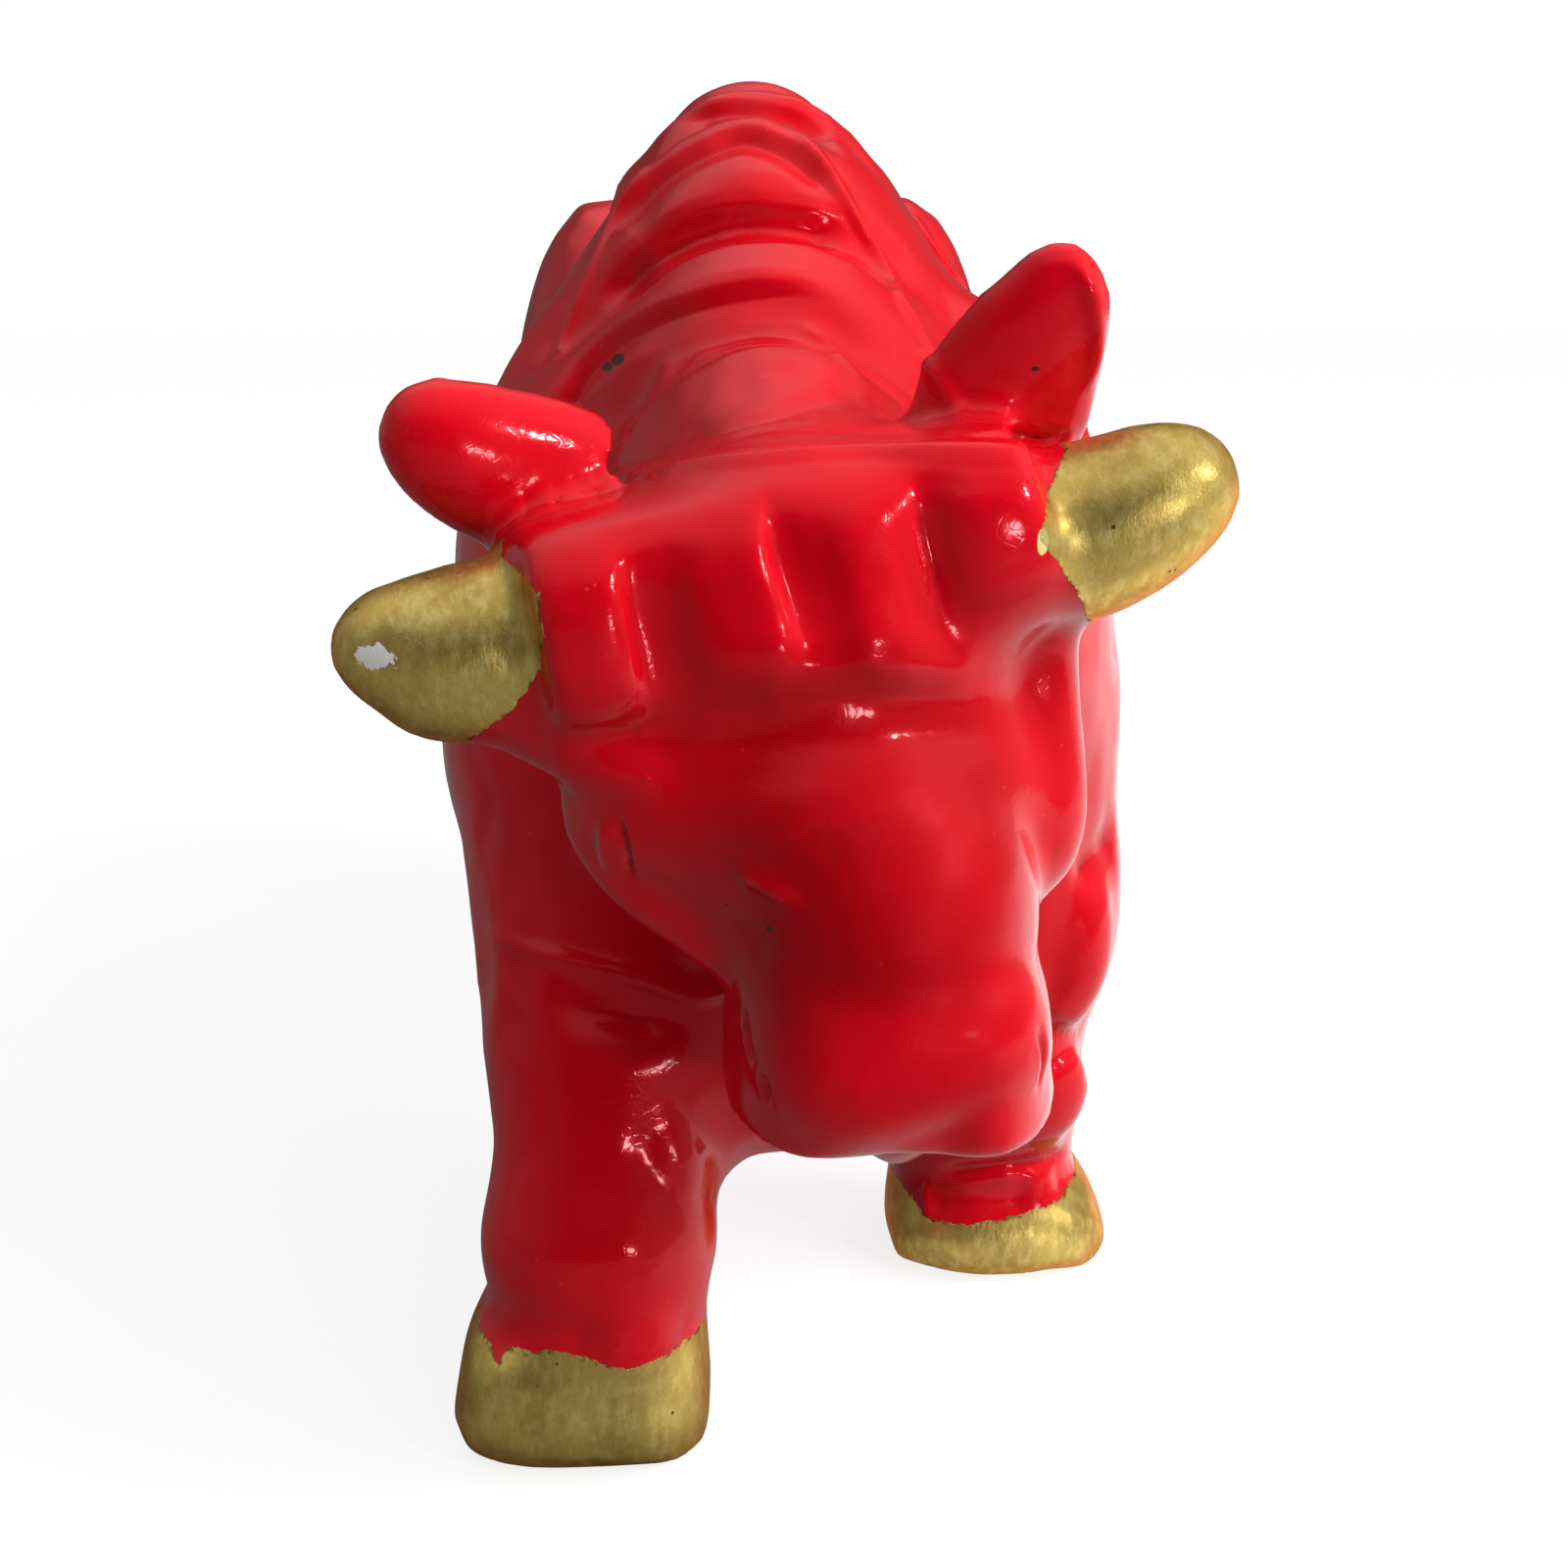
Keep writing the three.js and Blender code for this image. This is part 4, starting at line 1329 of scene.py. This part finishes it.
@dataclass(frozen=True)
class Ceramic:
    """The glazed clay and the gold paint on it."""

    name: str
    tint: Colour
    red: Colour = (0.66, 0.0015, 0.010)
    # Deep red for cloudy glaze, for glaze pooling in hollows and for painted shade, in the hollows and on the
    # brow and nose.
    red_deep: Colour = (0.40, 0.0005, 0.004)
    # Pale red for dust specks and for convex edges, there partly thinner glaze and partly painted highlight.
    red_thin_dust_and_highlight: Colour = (0.82, 0.03, 0.035)
    brass: Colour = (0.66, 0.47, 0.12)
    brass_pale: Colour = (0.90, 0.74, 0.27)
    olive: Colour = (0.30, 0.20, 0.045)
    # A near-black for chips, pinholes and soiled paint, and for painted shade in the paint's hollows.
    grime_and_shade: Colour = (0.035, 0.022, 0.010)
    plaster: Colour = (0.80, 0.78, 0.76)
    yellow: Colour = (0.80, 0.68, 0.26)
    metal: float = 0.82
    glaze_roughness: tuple[float, float] = (0.13, 0.30)
    dull_roughness: float = 0.20
    paint_roughness: tuple[float, float] = (0.28, 0.44)
    coat: float = 0.25
    coat_roughness: float = 0.05

    def material(self) -> bpy.types.Material:
        """Builds the material.

        Returns:
            The finished material.
        """
        graph = Surface(self.name)
        cavity = graph.attribute("cavity")
        paint_line = graph.attribute("gold")
        wander = graph.product(graph.math("SUBTRACT", graph.noise(0.55, 3), 0.5), 1.1)
        nibble = graph.product(graph.math("SUBTRACT", graph.noise(2.2, 2), 0.5), 0.5)
        edge = graph.total(graph.total(paint_line, wander), nibble)
        painted = graph.spread(edge, -0.04, 0.04)
        chip = graph.near(WHITE_CHIP)
        fleck = graph.near(YELLOW_FLECK)
        metal = graph.product(painted, graph.rest_of(chip))
        glaze = self.glaze_colour(graph, cavity)
        gold = self.gold_colour(graph, cavity, edge)
        colour = graph.mix(painted, glaze, gold)
        colour = graph.mix(chip, colour, self.plaster)
        colour = graph.mix(fleck, colour, self.yellow)
        graph.put(graph.shader.inputs["Base Color"], colour)
        graph.put(graph.shader.inputs["Metallic"], graph.product(metal, self.metal))
        patchy = graph.noise(0.12, 4, 0.6)
        glossy = graph.spread(patchy, 0.3, 0.75, *self.glaze_roughness)
        dull = graph.near(DULL_FACE)
        glossy = graph.total(glossy, graph.product(dull, self.dull_roughness))
        brushed = graph.spread(graph.noise(0.5, 5, 0.65), 0.3, 0.7, *self.paint_roughness)
        unpainted = graph.rest_of(painted)
        roughness = graph.total(graph.product(glossy, unpainted), graph.product(brushed, painted))
        graph.put(graph.shader.inputs["Roughness"], roughness)
        graph.put(graph.shader.inputs["Specular Tint"], self.tint)
        bare = graph.product(unpainted, graph.rest_of(dull))
        graph.put(graph.shader.inputs["Coat Weight"], graph.product(bare, self.coat))
        graph.shader.inputs["Coat Roughness"].default_value = self.coat_roughness
        self.relief(graph, painted, chip)
        return graph.material

    def glaze_colour(self, graph: Surface, cavity: Socket) -> Socket:
        """Colours the glaze: deeper in hollows, partly from glaze pooling and partly as painted shade; deeper
        on the brow and nose as painted shade; paler on convex edges, partly from thinner glaze and partly as
        painted highlight.

        Args:
            graph: the material's nodes.
            cavity: how hollow the surface is.

        Returns:
            The colour.
        """
        cloud = graph.spread(graph.noise(0.035, 3, 0.55), 0.35, 0.7)
        # Painted shade: the brow and nose are darkened as if turned away from the light.
        thick = graph.product(graph.near(PAINTED_FACE_SHADE), 0.75)
        # Hollows go deeper red, partly glaze pooling and partly painted shade.
        pooled_and_shaded = graph.total(graph.spread(cavity, 0.1, 0.9), thick)
        deep = graph.total(graph.product(cloud, 0.35), pooled_and_shaded, clamp=True)
        colour = graph.mix(deep, self.red, self.red_deep)
        # Convex edges go paler red, partly thinner glaze and partly painted highlight.
        thin_and_highlit = graph.product(graph.spread(cavity, -0.15, -0.9), graph.spread(graph.noise(0.8, 3), 0.35, 0.6))
        colour = graph.mix(graph.product(thin_and_highlit, 0.5), colour, self.red_thin_dust_and_highlight)
        specks = graph.spread(graph.cells(0.42), 0.10, 0.06)
        dust = graph.product(specks, graph.spread(graph.noise(0.09), 0.5, 0.62))
        colour = graph.mix(graph.product(dust, 0.5), colour, self.red_thin_dust_and_highlight)
        for mark in DARK_MARKS:
            colour = graph.mix(graph.near(mark), colour, self.grime_and_shade)
        return colour

    def gold_colour(self, graph: Surface, cavity: Socket, edge: Socket) -> Socket:
        """Colours the gold paint, mottled, brushed and grimy at its edge, and dark in its hollows, partly
        soiled and partly as painted shade.

        Args:
            graph: the material's nodes.
            cavity: how hollow the surface is.
            edge: how far the surface lies inside the paint in millimetres.

        Returns:
            The colour.
        """
        patches = graph.spread(graph.noise(0.13, 5, 0.6), 0.30, 0.62, 0.45, 1.0)
        strokes = graph.spread(graph.noise(0.9, 4, 0.65, (1, 0.6, 0.45)), 0.40, 0.70)
        colour = graph.mix(patches, self.olive, self.brass)
        colour = graph.mix(graph.product(strokes, 0.45), colour, self.brass_pale)
        grains = graph.product(graph.spread(graph.noise(3.2, 3, 0.7), 0.58, 0.70), 0.5)
        colour = graph.mix(grains, colour, self.olive)
        at_edge = graph.product(graph.spread(edge, 0.55, 0.0), graph.spread(graph.noise(0.9, 3), 0.45, 0.62))
        holes = graph.spread(graph.cells(0.32), 0.09, 0.05)
        pits = graph.product(holes, graph.spread(graph.noise(0.2), 0.45, 0.55))
        # Dark at the paint's edge and in pits from soiling, and dark in hollows partly from soiling and
        # partly as painted shade.
        dirt_and_shade = graph.total(graph.total(at_edge, pits), graph.spread(cavity, 0.2, 1.0), clamp=True)
        return graph.mix(graph.product(dirt_and_shade, 0.85), colour, self.grime_and_shade)

    def relief(self, graph: Surface, painted: Socket, chip: Socket) -> None:
        """Gives the surface its fine relief.

        Args:
            graph: the material's nodes.
            painted: where the gold paint is.
            chip: where the paint has chipped off.
        """
        peel = graph.product(graph.noise(0.45, 2), 0.030)
        ripple = graph.product(graph.noise(1.6, 2), 0.006)
        crackle = graph.product(graph.spread(graph.cells(0.9, "DISTANCE_TO_EDGE"), 0.0, 0.12), 0.004)
        bristles = graph.product(graph.noise(2.4, 4, 0.7, (1, 0.5, 0.4)), 0.05)
        coat = graph.product(graph.total(bristles, 0.05), painted)
        dent = graph.product(chip, -0.12)
        height = peel
        for part in (ripple, crackle, coat, dent):
            height = graph.total(height, part)
        bump = graph.nodes.new("ShaderNodeBump")
        bump.inputs["Strength"].default_value = 1
        bump.inputs["Distance"].default_value = MM
        graph.put(bump.inputs["Height"], height)
        graph.put(graph.shader.inputs["Normal"], bump.outputs[0])
        graph.put(graph.shader.inputs["Coat Normal"], bump.outputs[0])


WHITE_CHIP = seen_at((381, 672), -111.5, (2.0, 4.0, 1.3), 1.7)
YELLOW_FLECK = seen_at((1061, 551), -107, (0.75, 3.0, 1.5), 0.3)
DULL_FACE = seen_at((905, 960), -118, (15, 14, 22), 0.2, 0.35)
# Painted shade over the brow and nose, darker red as if the face were turned from the light.
PAINTED_FACE_SHADE = seen_at((890, 900), -114, (22, 14, 27), 0.2, 0.45)
DARK_MARKS = (
    seen_at((628, 366), -61.8, (1.1, 3.0, 0.8), 0.5),
    seen_at((617, 374), -61.2, (1.0, 3.0, 0.7), 0.5),
    seen_at((785, 955), -117, (0.42, 3.0, 0.36), 0.3),
    seen_at((742, 932), -115, (0.3, 3.0, 0.34), 0.3),
    seen_at((1053, 375), -92, (0.5, 4.0, 0.3), 0.3),
)

# Where the gold paint ends, in millimetres: for a horn the distance from the
# middle at each height, for a hoof the height at each place across.
HORN_EDGE_RIGHT = (
    (86, 34.5), (89.3, 32.8), (92.8, 28.4), (96, 26), (100, 25), (104.5, 25.4), (106.5, 29.5)
)
HORN_EDGE_LEFT = (
    (95, 29.5), (99.4, 27.1), (104, 24.3), (108, 20.9), (111.6, 21.9), (115.5, 24.5), (119, 26)
)
HOOF_EDGES = {
    "forehoof_right": (
        (-40, 14.6), (-35.4, 14.4), (-34.6, 13.2), (-33.6, 14.8), (-27, 15.7), (-20.5, 14.2), (-15, 14.6),
        (-11, 13.4),
    ),
    "forehoof_left": ((14.6, 11.8), (19.1, 8.6), (24, 8.4), (29, 9.2), (39.4, 11.2), (45, 12)),
    "hind_hoof_right": ((-40, 15.4), (-31, 14.1), (-22, 15.2), (-11, 14.2)),
    "hind_hoof_left": ((14.6, 11.4), (24, 10.2), (35, 11.3), (45, 10.6)),
}
HORN_PAINT_RADIUS = 15
EAR_CLEARANCE = 0.5
HOOF_HALF_WIDTH = 19
HOOF_TOP = 22
PAINT_REACH = 5


def paint_distance(points: np.ndarray) -> np.ndarray:
    """Measures how far each point lies inside the gold paint.

    Args:
        points: rows of coordinates in millimetres.

    Returns:
        Millimetres, above 0 inside the paint.
    """
    x, _, z = points.T
    horn_right = -x - np.interp(z, *zip(*HORN_EDGE_RIGHT))
    horn_left = x - np.interp(z, *zip(*HORN_EDGE_LEFT))
    inside = []
    for distance, horn, edge in zip((horn_right, horn_left), HORNS, EAR_EDGES):
        from_ear = (points - np.array(edge)) @ np.array(UNDER_EAR) - EAR_CLEARANCE
        inside.append(np.minimum.reduce((distance, HORN_PAINT_RADIUS - from_line(points, horn), from_ear)))
    for name, edge in HOOF_EDGES.items():
        low, high = (np.array(corner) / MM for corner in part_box(name))
        aside = np.abs(points[:, :2] - (low[:2] + high[:2]) / 2).max(1)
        near = (aside < HOOF_HALF_WIDTH) & (z < HOOF_TOP)
        inside.append(np.where(near, np.interp(x, *zip(*edge)) - z, -PAINT_REACH))
    return np.clip(np.max(inside, axis=0), -PAINT_REACH, PAINT_REACH)


def from_line(points: np.ndarray, loft: Loft) -> np.ndarray:
    """Measures how far each point lies from the middle line of a loft.

    Args:
        points: rows of coordinates in millimetres.
        loft: the loft.

    Returns:
        The distances in millimetres.
    """
    line = np.array([VIEW.at_depth(pixel, y) for pixel, y, _, _ in loft.stations])
    near = np.full(len(points), 50.0)
    found, away, _, _ = beside(points, line, 40)
    near[found] = away
    return near


def measure_surface(piece: bpy.types.Object, passes: int = 5, depth: float = 0.16) -> None:
    """Stores where the paint is and how hollow the surface is.

    Args:
        piece: the body.
        passes: how far round each vertex the hollow is judged.
        depth: the depth in millimetres that counts as fully hollow.
    """
    points = places(piece.data)
    copy = piece.copy()
    copy.data = piece.data.copy()
    bpy.context.scene.collection.objects.link(copy)
    apply_modifier(copy, "SMOOTH", factor=0.5, iterations=passes)
    lifted = np.einsum("ij,ij->i", places(copy.data) - points, facings(piece.data)) / MM / depth
    bpy.data.meshes.remove(copy.data)
    for name, values in (("cavity", np.clip(lifted, -1, 1)), ("gold", paint_distance(points / MM))):
        kept = piece.data.attributes.new(name, "FLOAT", "POINT")
        kept.data.foreach_set("value", values.astype(np.float32))


@dataclass
class Studio:
    """The floor, the lights and the camera."""

    key_at: Point = (560, -520, 480)
    key_size: tuple[float, float] = (0.05, 0.09)
    key_watts: float = 1.3
    low_at: Point = (340, -700, 120)
    low_size: tuple[float, float] = (0.10, 0.06)
    low_watts: float = 0.6
    lamp_at: Point = (650, -190, 600)
    lamp_size: float = 0.42
    lamp_watts: float = 6.8
    floor_size: float = 6
    floor_pale: Colour = (0.24, 0.24, 0.24)
    floor_worn: Colour = (0.22, 0.22, 0.22)
    floor_roughness: float = 0.9
    floor_glow: float = 0.82
    # How strongly those floor patches glow in reflections, a painted reflection.
    floor_reflection_glow: float = 0.9
    aim: Point = (0, -60, 80)
    film_width: float = 36
    clip_start: float = 0.01

    def build(self) -> None:
        """Sets the stage."""
        self.camera()
        self.floor()
        self.world()
        self.area("glint", self.key_at, self.key_size, self.key_watts)
        self.area("low_glint", self.low_at, self.low_size, self.low_watts)
        lamp = self.area("softbox", self.lamp_at, (self.lamp_size, self.lamp_size), self.lamp_watts)
        lamp.visible_glossy = False

    def camera(self) -> None:
        """Stands the camera where the photograph was taken from."""
        bpy.ops.object.camera_add(location=Vector(VIEW.at) * MM, rotation=VIEW.turn())
        eye = bpy.context.object
        eye.data.sensor_width = self.film_width
        eye.data.lens = VIEW.focal_px / VIEW.frame_px * self.film_width
        eye.data.clip_start = self.clip_start
        bpy.context.scene.camera = eye

    def floor(self) -> None:
        """Lays the pale floor, with patches in front of the hooves that glow only in reflections, a painted
        reflection.
        """
        bpy.ops.mesh.primitive_plane_add(size=self.floor_size, location=(0, 0, 0))
        floor = bpy.context.object
        floor.name = "floor"
        graph = Surface("pale_floor")
        mottle = graph.noise(0.02, 3)
        graph.put(graph.shader.inputs["Base Color"], graph.mix(mottle, self.floor_worn, self.floor_pale))
        graph.shader.inputs["Roughness"].default_value = self.floor_roughness
        graph.shader.inputs["Emission Color"].default_value = (1, 1, 1, 1)
        path = graph.nodes.new("ShaderNodeLightPath")
        seen = graph.math("MAXIMUM", path.outputs["Is Camera Ray"], path.outputs["Is Transmission Ray"])
        apart = graph.nodes.new("ShaderNodeSeparateXYZ")
        graph.put(apart.inputs[0], graph.place)
        x, y, _ = apart.outputs
        # Painted reflection: a patch of floor in front of the hooves, and a wider one further out on the
        # right, glow only for glossy rays, so that the legs and hooves show bright reflections.
        near = graph.product(graph.spread(x, -20.0, 60.0), graph.spread(y, -175.0, -125.0))
        beside_it = graph.product(graph.spread(x, 0.0, 260.0), graph.spread(y, -360.0, -220.0))
        bright_side = graph.math("MAXIMUM", near, beside_it)
        bright_side = graph.product(bright_side, self.floor_reflection_glow)
        mirrored = graph.product(path.outputs["Is Glossy Ray"], bright_side)
        glow = graph.total(graph.product(seen, self.floor_glow), mirrored)
        graph.put(graph.shader.inputs["Emission Strength"], glow)
        floor.data.materials.append(graph.material)

    def world(self) -> None:
        """Surrounds the bull with a bright ceiling, grey walls at its sides and a dim room."""
        world = bpy.data.worlds.new("studio")
        bpy.context.scene.world = world
        graph = Graph(world)
        where = graph.nodes.new("ShaderNodeTexCoord")
        parts = graph.nodes.new("ShaderNodeSeparateXYZ")
        graph.put(parts.inputs[0], where.outputs["Generated"])
        x, y, z = parts.outputs
        shed = graph.total(graph.spread(z, 0.0, 0.9, 0.08, 0.75), graph.spread(x, 0.1, 0.95, 0.0, 0.45))
        mirrored = graph.spread(z, 0.4, 0.98, 0.02, 0.88)
        for wall in (
            graph.spread(x, -0.35, -0.95, 0.0, 0.3),
            graph.spread(y, 0.6, 0.95, 0.0, 0.06),
            graph.spread(x, 0.45, 0.9, 0.0, 0.4),
        ):
            mirrored = graph.total(mirrored, wall)
        path = graph.nodes.new("ShaderNodeLightPath")
        clear = graph.math("MAXIMUM", path.outputs["Is Camera Ray"], path.outputs["Is Transmission Ray"])
        lit = graph.blend(path.outputs["Is Glossy Ray"], shed, mirrored)
        sky = graph.nodes["Background"]
        sky.inputs["Color"].default_value = (1, 1, 1, 1)
        graph.put(sky.inputs["Strength"], graph.blend(clear, lit, 1.0))

    def area(self, name: str, at: Point, size: tuple[float, float], watts: float) -> bpy.types.Object:
        """Hangs a light that is aimed at the bull.

        Args:
            name: its name.
            at: its place in millimetres.
            size: its sides in metres.
            watts: its power.

        Returns:
            The light.
        """
        bpy.ops.object.light_add(type="AREA", location=Vector(at) * MM)
        light = bpy.context.object
        light.name = name
        light.data.shape = "RECTANGLE"
        light.data.size, light.data.size_y = size
        light.data.energy = watts
        towards = Vector(self.aim) * MM - light.location
        light.rotation_euler = towards.to_track_quat("-Z", "Y").to_euler()
        return light


def main() -> None:
    """Builds the bull, dresses it and sets the stage."""
    logging.basicConfig(level=logging.INFO, format="%(message)s")
    bpy.context.scene.view_settings.view_transform = "Standard"
    deselect_all()
    clay = Clay().build()
    measure_surface(clay)
    finishes = {
        "red_glaze": Ceramic("red_glaze", (1, 0.12, 0.15)).material(),
        "gold_paint": Ceramic("gold_paint", (1, 0.3, 0.28)).material(),
    }
    slots = {part.name: part.slot for part in castings()}
    pieces = Pottery(clay).build()
    pieces["tail"] = Tail().build()
    measure_surface(pieces["tail"])
    slots["tail"] = "red_glaze"
    for name, piece in pieces.items():
        piece.data.materials.append(finishes[slots[name]])
        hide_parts(name)
        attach(piece, "root")
        LOG.info("%s: %d faces", piece.name, len(piece.data.polygons))
    Studio().build()


if __name__ == "__main__":
    main()
